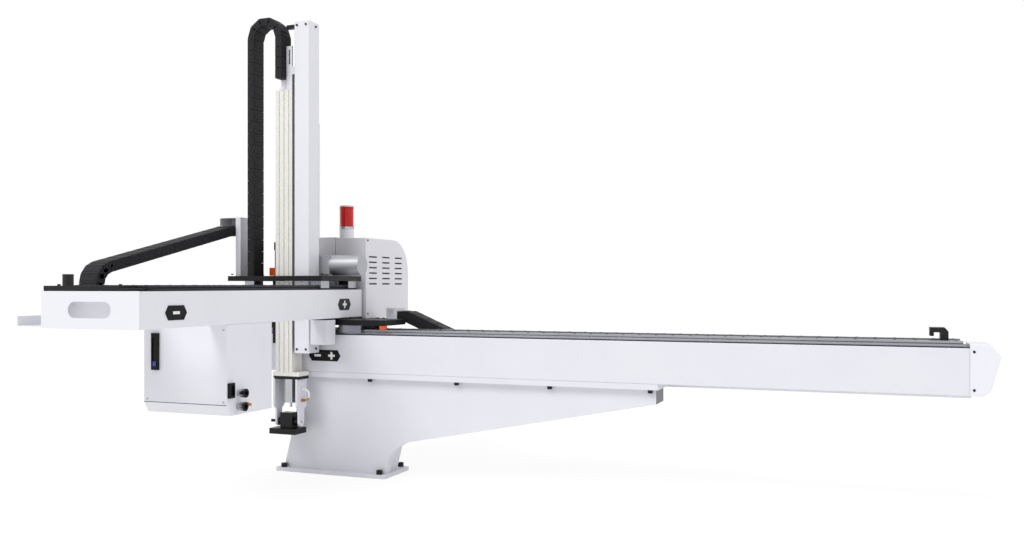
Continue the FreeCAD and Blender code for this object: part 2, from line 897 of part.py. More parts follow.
def gauge_and_socket():
    """The gauge window on the front of the valve box and the inlet socket on its side."""
    left = frame_right - valve_box_width
    low = frame_bottom - valve_box_height
    near = valve_box_near
    gauge = box((left + 37.0, left + 66.0), (near - 8.0, near), (low + 146.0, low + 271.0))
    gauge = gauge.cut(box((left + 42.0, left + 61.0), (near - 9.0, near - 5.0),
                          (low + 160.0, low + 257.0)))
    socket = box((frame_right, frame_right + 9.0), (near + 3.0, near + 32.0), (low + 60.0, low + 110.0))
    mouth = box((frame_right + 4.0, frame_right + 10.0), (near + 8.0, near + 27.0),
                (low + 68.0, low + 102.0))
    return [gauge, socket.cut(mouth)]


def air_fittings():
    """Two air couplings and a brass outlet on the side of the valve box."""
    low = frame_bottom - valve_box_height
    near = valve_box_near
    face = frame_right
    parts = []
    for y, z in ((near + 63.0, low + 73.0), (near + 60.0, low + 28.0)):
        collar = rod(face, y, z, 11.0, 12.0, "x")
        sleeve = rod(face + 12.0, y, z, 15.0, 18.0, "x")
        parts.append(joined([collar, sleeve]).cut(rod(face + 22.0, y, z, 8.0, 9.0, "x")))
    nut = rod(face, near + 98.0, low + 31.0, 8.0, 10.0, "x")
    barb = rod(face + 10.0, near + 98.0, low + 31.0, 5.0, 12.0, "x")
    parts.append(joined([nut, barb]))
    return parts


def cabinet_outline(margin):
    """Side view of the louvred cabinet, with its large round corner at the top rear."""
    near = cabinet_near + margin
    far = cabinet_near + cabinet_depth - margin
    low = carriage_top + margin
    top = carriage_top + cabinet_height - margin
    radius = cabinet_corner_radius - margin
    points = [(near, low), (far, low)]
    for step in range(9):
        angle = math.pi / 2 * step / 8
        points.append((far - radius + radius * math.cos(angle), top - radius + radius * math.sin(angle)))
    points.append((near, top))
    return points


def light_axis():
    """Axis of the signal light on the louvred cabinet."""
    return (cabinet_left + 35.0, cabinet_near + light_diameter / 2 + 1.0)


def louvred_cabinet():
    """The electrical cabinet with three columns of louvres and the signal light's foot."""
    outer = prism(cabinet_outline(0), "x", cabinet_left, cabinet_right)
    room = prism(cabinet_outline(cabinet_wall), "x", cabinet_left + cabinet_wall,
                 cabinet_right - cabinet_wall)
    slots = []
    for column in range(3):
        near = cabinet_near + 27.0 + column * louvre_pitch_y
        for row in range(6):
            z = carriage_top + cabinet_height - 78.0 - row * louvre_pitch_z
            slots.append(box((cabinet_right - cabinet_wall - 1, cabinet_right + 1),
                             (near, near + louvre_length),
                             (z - louvre_height / 2, z + louvre_height / 2)))
    half = traverse_motor_size / 2 + 0.5
    opening = box((traverse_motor_x - half, traverse_motor_x + half),
                  (traverse_motor_y - half, traverse_motor_y + half),
                  (carriage_top - 1, carriage_top + cabinet_wall + 1))
    shell = outer.cut(room).cut(group(slots)).cut(opening)
    x, y = light_axis()
    light_foot = rod(x, y, carriage_top + cabinet_height, light_diameter / 2, light_base_height)
    return joined([shell, light_foot])


def signal_light_lens():
    """The red lens with its cap."""
    x, y = light_axis()
    low = carriage_top + cabinet_height + light_base_height
    lens = rod(x, y, low, light_diameter / 2 - 2.0, light_lens_height - 6.0)
    return joined([lens, rod(x, y, low + light_lens_height - 6.0, light_diameter / 2, 6.0)])


def side_cover():
    """The plain sheet cover beside the louvred cabinet."""
    right = cabinet_left - side_cover_gap
    left = right - side_cover_width
    w = cabinet_wall
    y = (cabinet_near, cabinet_near + side_cover_depth)
    z = (carriage_top, carriage_top + side_cover_height)
    shell = box((left, right), y,
                z).cut(box((left + w, right - w), (y[0] + w, y[1] - w), (z[0] + w, z[1] - w)))
    return shell.cut(rod((left + right) / 2, y[1] - w - 1, z[0] + 60.0, 25.0, w + 2, "y"))


def crosswise_chain_sides():
    """Left and right side of the crosswise chain."""
    half = crosswise_chain_width / 2
    return (crosswise_chain_middle - half, crosswise_chain_middle + half)


def crosswise_tray():
    """The sheet tray on the left beam with the fixed clamp of the crosswise chain."""
    left = frame_left - crosswise_tray_width
    y = (crosswise_tray_near, crosswise_tray_far)
    floor = (frame_bottom + 1.0, frame_bottom + 1.0 + tray_sheet)
    solids = [box((left, frame_left), y, floor)]
    solids.append(box((left, left + tray_sheet), y, (floor[0], floor[0] + crosswise_tray_wall)))
    clamp = crosswise_tray_far - 21.0
    solids.append(box(crosswise_chain_sides(), (clamp, crosswise_tray_far),
                      (floor[0], floor[1] + crosswise_chain_height)))
    return joined(solids)


def crosswise_chain_low():
    """Middle height of the lower run in its tray."""
    return frame_bottom + 1.0 + tray_sheet + crosswise_chain_height / 2


def crosswise_loop_pins():
    """Pins of the bend: a half turn with a short upright part, ending on the slope."""
    low = crosswise_chain_low()
    radius = crosswise_chain_radius
    first = bend_pins((crosswise_chain_bend, low + radius), radius, 270, 180, 3)
    small = crosswise_chain_top_radius
    centre = (crosswise_chain_bend - radius + small, low + radius + crosswise_chain_rise)
    return first + bend_pins(centre, small, 180, 90 + crosswise_chain_slope, 3)


def crosswise_knee():
    """Point where the sloping run of the crosswise chain turns level."""
    start = crosswise_loop_pins()[-1]
    rise = (crosswise_chain_knee - start[0]) * math.tan(math.radians(crosswise_chain_slope))
    return (crosswise_chain_knee, start[1] + rise)


def crosswise_chain():
    """The run in the tray, the bend, and the sloping run with its level end under the hood."""
    knee = crosswise_knee()
    low = crosswise_chain_low()
    left, right = crosswise_chain_sides()
    lower = straight_pins((crosswise_tray_far - 21.0, low), (crosswise_chain_bend, low))
    bend = crosswise_loop_pins()
    upper = straight_pins(bend[-1], knee)
    upper += straight_pins(knee, (crosswise_chain_end, knee[1]))[1:]
    return chain([lower, bend, upper], crosswise_chain_height, "x", left, right)


def chain_hood():
    """The white hood and post on the arm plate that hold the crosswise chain's end."""
    left, right = crosswise_chain_sides()
    chain_top = crosswise_knee()[1] + crosswise_chain_height / 2
    top = chain_top + 34.0
    seat = crosswise_chain_end - link_gap / 2
    y = (crosswise_chain_end - 75.0, seat + 4.0)
    roof = box((left, right + 2.0), y, (top - 3.0, top))
    wall = box((left, left + 2.0), y, (chain_top + 2.0, top))
    end = box((left, right + 2.0), (seat, y[1]), (chain_top - crosswise_chain_height, top))
    post = hollow_bar((right + 2.0, right + 26.0), y, (arm_plate_top, top), 3.0, "z")
    return joined([roof, wall, end, post])


def lift_chain_sides():
    """Near and far side of the lift chain."""
    return (lift_chain_near, lift_chain_near + lift_chain_width)


def lift_chain_x():
    """Middle of the fixed run of the lift chain."""
    return tube_middle - 2 * lift_chain_radius - 3.5


def arm_plate():
    """The plate on both side beams, with the arm's window and the lift chain's foot."""
    x = (frame_left - arm_plate_overhang, frame_right)
    plate = box(x, (arm_plate_near, arm_plate_far), (arm_plate_bottom, arm_plate_top))
    window = box((window_left, window_right), (window_near, upright_far),
                 (arm_plate_bottom - 1, arm_plate_top + 1))
    radius = shaft_radius + shaft_clearance
    hole = rod(crosswise_motor_x, crosswise_motor_y, arm_plate_bottom - 1, radius,
               arm_plate_thickness + 2)
    half = lift_chain_height / 2
    foot_x = (lift_chain_x() - half, lift_chain_x() + half)
    foot_top = arm_plate_top + lift_chain_foot + link_gap / 2
    foot = box(foot_x, lift_chain_sides(), (arm_plate_top, foot_top))
    return joined([plate.cut(window).cut(hole), foot])


def arm_carriage_blocks():
    """Four blocks on the crosswise rails and two that guide the column."""
    half = arm_block_length / 2
    lines = (arm_plate_near + 15.0 + half, arm_plate_far - 20.0 - half)
    blocks = [block_on_rail((x, y), arm_block_length, frame_top,
                            "y") for x in frame_rail_lines() for y in lines]
    slot = arm_rail_width / 2 + running_clearance
    wide = guide_block_width / 2
    near = upright_near - guide_block_depth
    roof = arm_rear + arm_rail_height + running_clearance
    for low in (upright_bottom + 10.0, upright_top - 20.0 - guide_block_height):
        z = (low, low + guide_block_height)
        body = box((rear_rail_x - wide, rear_rail_x + wide), (near, upright_near), z)
        blocks.append(body.cut(box((rear_rail_x - slot, rear_rail_x + slot), (near - 1, roof),
                                   (low - 1, z[1] + 1))))
    return group(blocks)


def arm_upright():
    """The upright behind the arm and the black guide strip left of it."""
    left = column_left - 3.0
    upright = box((left, left + upright_width), (upright_near, upright_far),
                  (upright_bottom, upright_top))
    low = arm_plate_top - guide_drop - 17.0
    strip = box((window_left, window_left + 10.0), (tube_front - 2.0, arm_rear), (low, arm_plate_top))
    return group([upright, strip])


def lower_guide():
    """The pale guard box that hangs beside the arm under the right beam."""
    low = arm_plate_top - guide_drop - 20.0
    y = (tube_front - 2.0, arm_rear - 5.0)
    web = box((window_right - 6.0, window_right), y, (low, arm_plate_top))
    guard = box((window_right - 6.0, frame_right - 6.0), y, (low, frame_bottom - 6.0))
    room = box((window_right + 3.0, frame_right - 9.0), (y[0] + 3.0, y[1] - 3.0),
               (low - 1, frame_bottom - 9.0))
    return joined([web, guard]).cut(room)


def crosswise_motor():
    """The black servo motor on the arm plate, with its connector."""
    half = crosswise_motor_size / 2
    x = crosswise_motor_x
    y = crosswise_motor_y
    top = arm_plate_top + crosswise_motor_height
    foot = box((x - half, x + half), (y - half, y + half), (arm_plate_top, arm_plate_top + 10.0))
    body = box((x - half + 2.0, x + half - 2.0), (y - half + 2.0, y + half - 2.0),
               (arm_plate_top + 10.0, top - 32.0))
    cap = box((x - half, x + half), (y - half, y + half), (top - 32.0, top))
    plug_z = (arm_plate_top + 12.0, arm_plate_top + 34.0)
    plug = box((x - 36.0, x - 12.0), (y - half - 28.0, y - half + 2.0), plug_z)
    bore = rod(x, y, arm_plate_top - 1, shaft_radius + shaft_clearance, 24.0)
    return joined([foot, body, cap, plug]).cut(bore)


def lift_motor():
    """The silver lift motor and gearbox on its bracket beside the column."""
    left = column_right - 2.0
    start = left + motor_bracket_thickness
    half = 35.0
    plate = box((left, start), (arm_rear + 2.0, lift_gear_y + 45.0), (arm_plate_top, lift_gear_z + 42.0))
    gearbox = box((start, start + lift_gearbox_length), (lift_gear_y - half, lift_gear_y + half),
                  (lift_gear_z - half, lift_gear_z + half))
    body = rod(start + lift_gearbox_length, lift_gear_y, lift_gear_z, lift_motor_radius,
               lift_motor_length, "x")
    radius = shaft_radius + shaft_clearance
    bore = rod(left - 1, lift_gear_y, lift_gear_z, radius, motor_bracket_thickness + 24.0, "x")
    return joined([plate, gearbox, body]).cut(bore)


def lift_pinion():
    """The driven gear of the lift with its shaft into the gearbox."""
    left = lift_rack_right - 18.0
    outline = turned_outline(small_gear_module, lift_gear_y, lift_gear_z, 180)
    gear = prism(outline, "x", left, lift_rack_right)
    return joined([gear, rod(lift_rack_right, lift_gear_y, lift_gear_z, shaft_radius, 32.0, "x")])


def lift_rack():
    """The rack on the rear of the column, with its teeth to the rear."""
    pitch = math.pi * small_gear_module
    line = arm_rear + small_rack_depth
    after = int((lift_stroke + 70.0) / pitch)
    teeth = rack_teeth(lift_gear_z, 7, after, small_gear_module)
    points = [(line + height, z) for z, height in teeth]
    points = [(arm_rear, points[0][1])] + points + [(arm_rear, points[-1][1])]
    return prism(points, "x", lift_rack_right - 18.0, lift_rack_right)


def pulley_heights():
    """Heights of the upper and lower belt pulley."""
    return (column_top - pulley_inset_top, column_bottom + pulley_inset_bottom)


def column_beam():
    """The aluminium beam of the column with the pins that carry both belt pulleys."""
    bar = hollow_bar((column_left, column_right), (beam_face, arm_rear), (column_bottom, column_top),
                     column_wall, "z")
    front = pulley_rear - pulley_width - 0.5
    pins = [rod(pulley_x, front, z, pulley_pin_radius, beam_face - front + 2.0,
                "y") for z in pulley_heights()]
    return joined([bar] + pins)


def belt_pulley(z):
    """One belt pulley that runs on its pin."""
    front = pulley_rear - pulley_width
    wheel = rod(pulley_x, front, z, pulley_radius, pulley_width, "y")
    return wheel.cut(rod(pulley_x, front - 1, z, pulley_pin_radius + running_clearance,
                         pulley_width + 2, "y"))


def belt_band(radius, near, far):
    """A solid with straight sides and round ends about both pulleys."""
    high, low = pulley_heights()
    middle = box((pulley_x - radius, pulley_x + radius), (near, far), (low, high))
    return joined([middle] + [rod(pulley_x, near, z, radius, far - near, "y") for z in (low, high)])


def telescope_belt():
    """The closed belt that moves the arm tube as the column moves."""
    near = pulley_rear - pulley_width + 2.0
    far = pulley_rear - 2.0
    inner = pulley_radius + belt_gap
    return belt_band(inner + belt_thickness, near, far).cut(belt_band(inner, near, far))


def column_cover():
    """The folded white cover on the front and right of the column, with both end plates."""
    right = column_right + cover_sheet
    z = (column_bottom, column_top)
    solids = [box((column_left, right), (cover_front, cover_front + cover_sheet), z)]
    solids.append(box((column_right, right), (cover_front, arm_rear), z))
    for low in (column_bottom - column_plate_thickness, column_top):
        solids.append(box((column_left, right), (cover_front, arm_rear),
                          (low, low + column_plate_thickness)))
    return joined(solids)


def column_fittings():
    """Black cover screws near both ends, and the bar that stops the arm tube."""
    parts = []
    for z in (column_bottom + 10.0, column_top - 10.0):
        for x in (column_left + 12.0, column_right - 10.0):
            parts.append(cap_screw(x, cover_front, z, 5.0, "y", -1))
        parts.append(cap_screw(column_right + cover_sheet, (beam_face + arm_rear) / 2, z, 5.0, "x", 1))
    y = (beam_face - 12.0, beam_face + 8.0)
    parts.append(box((column_left - 44.0, column_left), y, (column_top - 17.0, column_top - 3.0)))
    return group(parts)


def column_rails():
    """The rear rail that runs in the carriage and the side rail for the arm tube."""
    half = arm_rail_width / 2
    z = (column_bottom + 8.0, column_top - 20.0)
    rear = box((rear_rail_x - half, rear_rail_x + half), (arm_rear, arm_rear + arm_rail_height), z)
    side = box((column_left - arm_rail_height, column_left), (side_rail_y - half, side_rail_y + half), z)
    return group([rear, side])


def lift_chain():
    """The upright run on the arm plate, the bend, and the hanging run that ends on the tube."""
    near, far = lift_chain_sides()
    left = lift_chain_x()
    right = left + 2 * lift_chain_radius
    upright = straight_pins((left, arm_plate_top + lift_chain_foot), (left, lift_chain_top))
    bend = bend_pins((left + lift_chain_radius, lift_chain_top), lift_chain_radius, 180, 0, 5)
    hanging = straight_pins((right, lift_chain_top), (right, lift_chain_top - lift_chain_hang))
    return chain([upright, bend, hanging], lift_chain_height, "y", near, far)


def arm_tube():
    """The ribbed extrusion of the arm with the pale plate at its foot."""
    z = (tube_bottom, tube_top)
    long = (z[0] - 1, z[1] + 1)
    bar = hollow_bar((tube_left, tube_right), (tube_front, arm_rear), z, tube_wall, "z")
    half = channel_width / 2
    back = tube_right - channel_depth
    seat_y = (side_rail_y - half - 5.0, side_rail_y + half + 5.0)
    bar = joined([bar, box((back - 5.0, tube_right), seat_y, z)])
    cuts = [box((back, tube_right + 1), (side_rail_y - half, side_rail_y + half), long)]
    for share in (0.2, 0.5, 0.8):
        x = tube_left + tube_width * share
        cuts.append(box((x - 4.0, x + 4.0), (tube_front - 1, tube_front + 2.5), long))
    for share in (0.3, 0.7):
        y = tube_front + tube_depth * share
        cuts.append(box((tube_left - 1, tube_left + 2.5), (y - 4.0, y + 4.0), long))
    foot = box((wrist_left, wrist_flange_right), (tube_front, arm_rear),
               (z[0] - tube_foot_thickness, z[0]))
    return joined([bar.cut(group(cuts)), foot])


def stage_blocks():
    """Two blocks in the tube's channel that run on the column's side rail."""
    half = channel_width / 2 - 1.0
    slot = arm_rail_width / 2 + running_clearance
    x = (tube_right - channel_depth, tube_right + 12.0)
    roof = column_left - arm_rail_height - running_clearance
    blocks = []
    for low in (tube_top - 90.0, tube_top - 250.0):
        z = (low, low + stage_block_height)
        body = box(x, (side_rail_y - half, side_rail_y + half), z)
        blocks.append(body.cut(box((roof, x[1] + 1), (side_rail_y - slot, side_rail_y + slot),
                                   (low - 1, z[1] + 1))))
    return group(blocks)


def belt_clamp():
    """The slotted white bar on top of the tube, whose finger grips the belt."""
    y = (tube_front, tube_front + 6.0)
    open_y = (y[0] - 1, y[1] + 1)
    left = tube_right - slotted_bar_width
    bar = box((left, tube_right), y, (tube_top, tube_top + slotted_bar_length))
    slot = box((left + 9.0, left + 17.0), open_y, (tube_top + 100.0, tube_top + 158.0))
    belt_left = pulley_x - pulley_radius - belt_gap - belt_thickness
    low = tube_top + 60.0
    finger = box((tube_right, belt_left - running_clearance), y, (low, low + clamp_height))
    return joined([bar.cut(slot), finger])


def chain_bracket():
    """The bracket on top of the tube that takes the lift chain's moving end."""
    near, far = lift_chain_sides()
    x = lift_chain_x() + 2 * lift_chain_radius
    half = lift_chain_height / 2
    end = lift_chain_top - lift_chain_hang
    y = (tube_front + 7.0, far)
    foot = box((tube_left + 13.0, tube_right - 5.0), (y[0], arm_rear - 5.0), (tube_top, tube_top + 8.0))
    block = box((x - half, x + half), y, (tube_top + 8.0, end + link_gap / 2))
    wing = box((x + half + 2.0, x + half + 22.0), y, (tube_top + 8.0, tube_top + 82.0))
    tie = box((x - half, x + half + 22.0), y, (tube_top + 8.0, tube_top + 20.0))
    return joined([foot, block, wing, tie])


def wrist_side(left):
    """One side plate of the wrist, narrowed to a lug round the flip axis."""
    y = wrist_axis_y
    z = wrist_axis_z
    lug = wrist_lug_radius
    shoulder = z + 50.0
    points = [
        (y - lug, z),
        (y + lug, z),
        (y + lug, shoulder),
        (arm_rear, shoulder + 14.0),
        (arm_rear, wrist_top),
        (tube_front, wrist_top),
        (tube_front, shoulder + 14.0),
        (y - lug, shoulder),
    ]
    thick = wrist_side_thickness
    plate = joined([prism(points, "x", left, left + thick), rod(left, y, z, lug, thick, "x")])
    return plate.cut(rod(left - 1, y, z, wrist_pin_radius + running_clearance, thick + 2, "x"))


def wrist_frame():
    """The wrist's black top flange, its two side plates and its back plate."""
    flange_z = (wrist_top, wrist_top + wrist_flange_thickness)
    flange = box((wrist_left, wrist_flange_right), (tube_front, arm_rear), flange_z)
    left = wrist_side(wrist_left)
    right = wrist_side(wrist_right - wrist_side_thickness)
    back = box((wrist_left, wrist_right), (arm_rear - 6.0, arm_rear), (wrist_axis_z + 70.0, wrist_top))
    return joined([flange, left, right, back])


def wrist_cylinder():
    """The air cylinder between the side plates, with its rod end below."""
    x = (wrist_left + wrist_right) / 2 + 6.0
    y = wrist_axis_y
    body = box((x - 16.0, x + 16.0), (y - 16.0, arm_rear - 6.0), (wrist_axis_z + 76.0, wrist_top))
    return joined([body, rod(x, y, wrist_axis_z + 58.0, 5.0, 20.0)])


def wrist_hose():
    """Two fittings on the side plate with a short hose bent between them."""
    y = wrist_axis_y
    x = wrist_right + 12.0
    middle = wrist_axis_z + 108.0
    solids = [rod(wrist_right, y, middle + way * hose_bend_radius, 6.0, 13.0, "x") for way in (-1, 1)]
    start = FreeCAD.Vector(x, y, middle - hose_bend_radius)
    circle = Part.Wire(Part.Edge(Part.Circle(start, FreeCAD.Vector(1, 0, 0), hose_radius)))
    hose = Part.Face(circle).revolve(FreeCAD.Vector(x, y, middle), FreeCAD.Vector(0, -1, 0), 180)
    return joined(solids + [hose])


def tool_plate():
    """The tool plate under the rotary unit, with four holes for a gripper."""
    half = tool_plate_width / 2
    middle = (wrist_left + wrist_right) / 2 - 9.0
    top = wrist_axis_z - tool_plate_drop
    z = (top - tool_plate_thickness, top)
    depth = tool_plate_depth / 2
    plate = box((middle - half, middle + half), (wrist_axis_y - depth, wrist_axis_y + depth), z)
    for x in (-tool_hole_spacing_x / 2, tool_hole_spacing_x / 2):
        for y in (-tool_hole_spacing_y / 2, tool_hole_spacing_y / 2):
            hole = rod(middle + x, wrist_axis_y + y, z[0] - 1, tool_hole_radius, tool_plate_thickness + 2)
            plate = plate.cut(hole)
    return plate


def rotary_unit():
    """The dark rotary unit on the tool plate and the shaft that it turns on."""
    y = wrist_axis_y
    z = wrist_axis_z
    inner_left = wrist_left + wrist_side_thickness + wrist_gap
    inner_right = wrist_right - wrist_side_thickness - wrist_gap
    x = (inner_left + 15.0, inner_right - 22.0)
    body = box(x, (y - 20.0, y + 20.0), (z - tool_plate_drop, z + 36.0))
    shaft = rod(wrist_left - 29.0, y, z, wrist_pin_radius, wrist_width + 29.0, "x")
    collars = [rod(inner_left, y, z, 14.0, 15.0, "x"), rod(x[1], y, z, 14.0, 22.0, "x")]
    return joined([body, shaft] + collars)


def chain_parts():
    """The two runs and the bend of each cable chain."""
    traverse = traverse_chain()
    crosswise = crosswise_chain()
    lift = lift_chain()
    return {
        "traverse_chain_lower": traverse[0],
        "traverse_chain_loop": traverse[1],
        "traverse_chain_upper": traverse[2],
        "crosswise_chain_lower": crosswise[0],
        "crosswise_chain_loop": crosswise[1],
        "crosswise_chain_upper": crosswise[2],
        "lift_chain_fixed_run": lift[0],
        "lift_chain_loop": lift[1],
        "lift_chain_moving_run": lift[2],
    }


def base_parts():
    """Pieces that stand still."""
    return {
        "base_plate": base_plate(),
        "base_bolts": base_bolts(),
        "pedestal": pedestal(),
        "beam_flange": beam_flange(),
        "flange_bolts": flange_bolts(),
        "traverse_beam": traverse_beam(),
        "beam_end_cover": beam_end_cover(),
        "beam_bed": beam_bed(),
        "traverse_rails": traverse_rails(),
        "traverse_rack": traverse_rack(),
        "end_stops": end_stops(),
        "traverse_tray": traverse_tray(),
    }


def traverse_parts():
    """Pieces that ride along the traverse beam."""
    return {
        "traverse_chain_bracket": traverse_chain_bracket(),
        "carriage_plate": carriage_plate(),
        "traverse_blocks": traverse_blocks(),
        "traverse_motor": traverse_motor(),
        "traverse_pinion": traverse_pinion(),
        "frame_beams": frame_beams(),
        "frame_end_cap": frame_end_cap(),
        "frame_rails": frame_rails(),
        "crosswise_rack": crosswise_rack(),
        "near_stop": near_stop(),
        "valve_box": valve_box(),
        "valve_box_fittings": group(gauge_and_socket() + air_fittings()),
        "crosswise_tray": crosswise_tray(),
        "louvred_cabinet": louvred_cabinet(),
        "side_cover": side_cover(),
        "signal_light_lens": signal_light_lens(),
    }


def arm_parts():
    """Pieces of the arm carriage and the vertical arm."""
    high, low = pulley_heights()
    return {
        "chain_hood": chain_hood(),
        "arm_plate": arm_plate(),
        "arm_carriage_blocks": arm_carriage_blocks(),
        "arm_upright": arm_upright(),
        "lower_guide": lower_guide(),
        "crosswise_motor": crosswise_motor(),
        "crosswise_pinion": crosswise_pinion(),
        "lift_motor": lift_motor(),
        "lift_pinion": lift_pinion(),
        "column_beam": column_beam(),
        "column_cover": column_cover(),
        "column_fittings": column_fittings(),
        "column_rails": column_rails(),
        "lift_rack": lift_rack(),
        "upper_pulley": belt_pulley(high),
        "lower_pulley": belt_pulley(low),
        "telescope_belt": telescope_belt(),
        "arm_tube": arm_tube(),
        "stage_blocks": stage_blocks(),
        "tube_brackets": group([belt_clamp(), chain_bracket()]),
    }


def wrist_parts():
    """Pieces at the foot of the arm tube."""
    return {
        "wrist_frame": group([wrist_frame(), wrist_cylinder(), wrist_hose()]),
        "rotary_unit": rotary_unit(),
        "tool_plate": tool_plate(),
    }


def main():
    os.makedirs("parts", exist_ok=True)
    for pieces in (base_parts(), traverse_parts(), arm_parts(), wrist_parts(), chain_parts()):
        for name, shape in pieces.items():
            shape.exportStep(f"parts/{name}.step")
    print(f"wrist hose bend radius {hose_bend_radius} mm")


main()
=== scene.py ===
import math

import bmesh
import bpy
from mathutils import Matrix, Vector


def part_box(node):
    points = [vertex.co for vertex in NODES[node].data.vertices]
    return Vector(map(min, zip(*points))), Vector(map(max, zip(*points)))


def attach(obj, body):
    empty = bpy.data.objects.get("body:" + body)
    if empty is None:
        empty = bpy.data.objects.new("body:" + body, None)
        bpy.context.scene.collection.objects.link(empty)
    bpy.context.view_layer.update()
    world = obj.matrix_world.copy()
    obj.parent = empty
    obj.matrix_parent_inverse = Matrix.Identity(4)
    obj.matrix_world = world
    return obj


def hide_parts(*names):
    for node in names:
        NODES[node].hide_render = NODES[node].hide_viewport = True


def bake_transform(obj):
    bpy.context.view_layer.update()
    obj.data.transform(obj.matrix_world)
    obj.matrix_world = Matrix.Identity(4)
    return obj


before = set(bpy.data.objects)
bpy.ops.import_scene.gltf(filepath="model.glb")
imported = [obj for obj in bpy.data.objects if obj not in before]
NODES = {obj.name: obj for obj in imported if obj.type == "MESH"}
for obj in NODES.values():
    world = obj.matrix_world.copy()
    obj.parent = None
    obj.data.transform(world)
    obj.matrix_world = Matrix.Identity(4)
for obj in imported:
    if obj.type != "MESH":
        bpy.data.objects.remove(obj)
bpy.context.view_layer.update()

bl_info = {
    "name": "Cartesian take-out robot",
    "version": (1, 0, 0),
    "blender": (4, 5, 0),
    "location": "View3D > Sidebar > Robot",
    "description": "Finishes and details for a beam-type take-out robot",
    "category": "Object",
}

# The camera stands level. Its place in metres, its aim on plan and its lens in mm were worked out
# from the straight edges of the photographed robot.
CAMERA_PLACE = (2.0625, -3.418, 0.759)
CAMERA_AIM = (0.36, 0.933)
FOCAL_LENGTH = 33.75
SENSOR_WIDTH = 36.0
LENS_SHIFT = 0.0176

# Finishes, in mm and as shares of a pattern.
CLOUD_SIZE = 170
CLOUD_SHARE = 0.6
GRAIN_SHARE = 0.5
GRAIN_SHIFT = -0.08
BUMP_DEPTH = 0.3
BUMP_GAIN = 4
SMOOTHER = 0.04
ROUGHER = 0.06

# Meshes. Points nearer than the first, in mm, are made one. Faces within the second, in degrees, are
# made one flat face, and edges sharper than the third are bevelled.
MERGE_DISTANCE = 0.01
FLAT_ANGLE = 1
SHARP_ANGLE = 35

# Cable chains in mm. The link's length and the chains' heights are those of the CAD.
LINK_LENGTH = 46.0
CHAIN_HEIGHT = {"traverse": 46.0, "crosswise": 38.0, "lift": 30.0}
# The details on each link in mm, and the bosses' place as a share of its length.
LINK_EDGE = 1.2
BAR_INSET = 5.0
BAR_EDGE = 0.5
BOSS_SHARE = 0.3
BOSS_RISE = 0.9
BOSS_CHAMFER = 0.6

# Faces and axes in mm that the trim sits on.
TRAVERSE_RAILS = (-82.5, 47.5)
FRAME_SIDE = 52.0
BEAM_FRONT = -102.5
VALVE_BOX_FRONT = -811
LAMP_CENTRE = (-45, 108)

# Sides of the lamp's round pieces.
LAMP_STEPS = 48


# Node trees and colours


def linear(text):
    """An sRGB hex value as a linear colour."""
    values = []
    for start in (1, 3, 5):
        value = int(text[start:start + 2], 16) / 255
        values.append(value / 12.92 if value <= 0.04045 else ((value + 0.055) / 1.055) ** 2.4)
    return (*values, 1.0)


def add_node(tree, kind, settings=None, inputs=None):
    """One node with its settings. An input takes a value, or a socket to be linked to."""
    node = tree.nodes.new(kind)
    for name, value in (settings or {}).items():
        setattr(node, name, value)
    for name, value in (inputs or {}).items():
        if isinstance(value, bpy.types.NodeSocket):
            tree.links.new(value, node.inputs[name])
        else:
            node.inputs[name].default_value = value
    return node


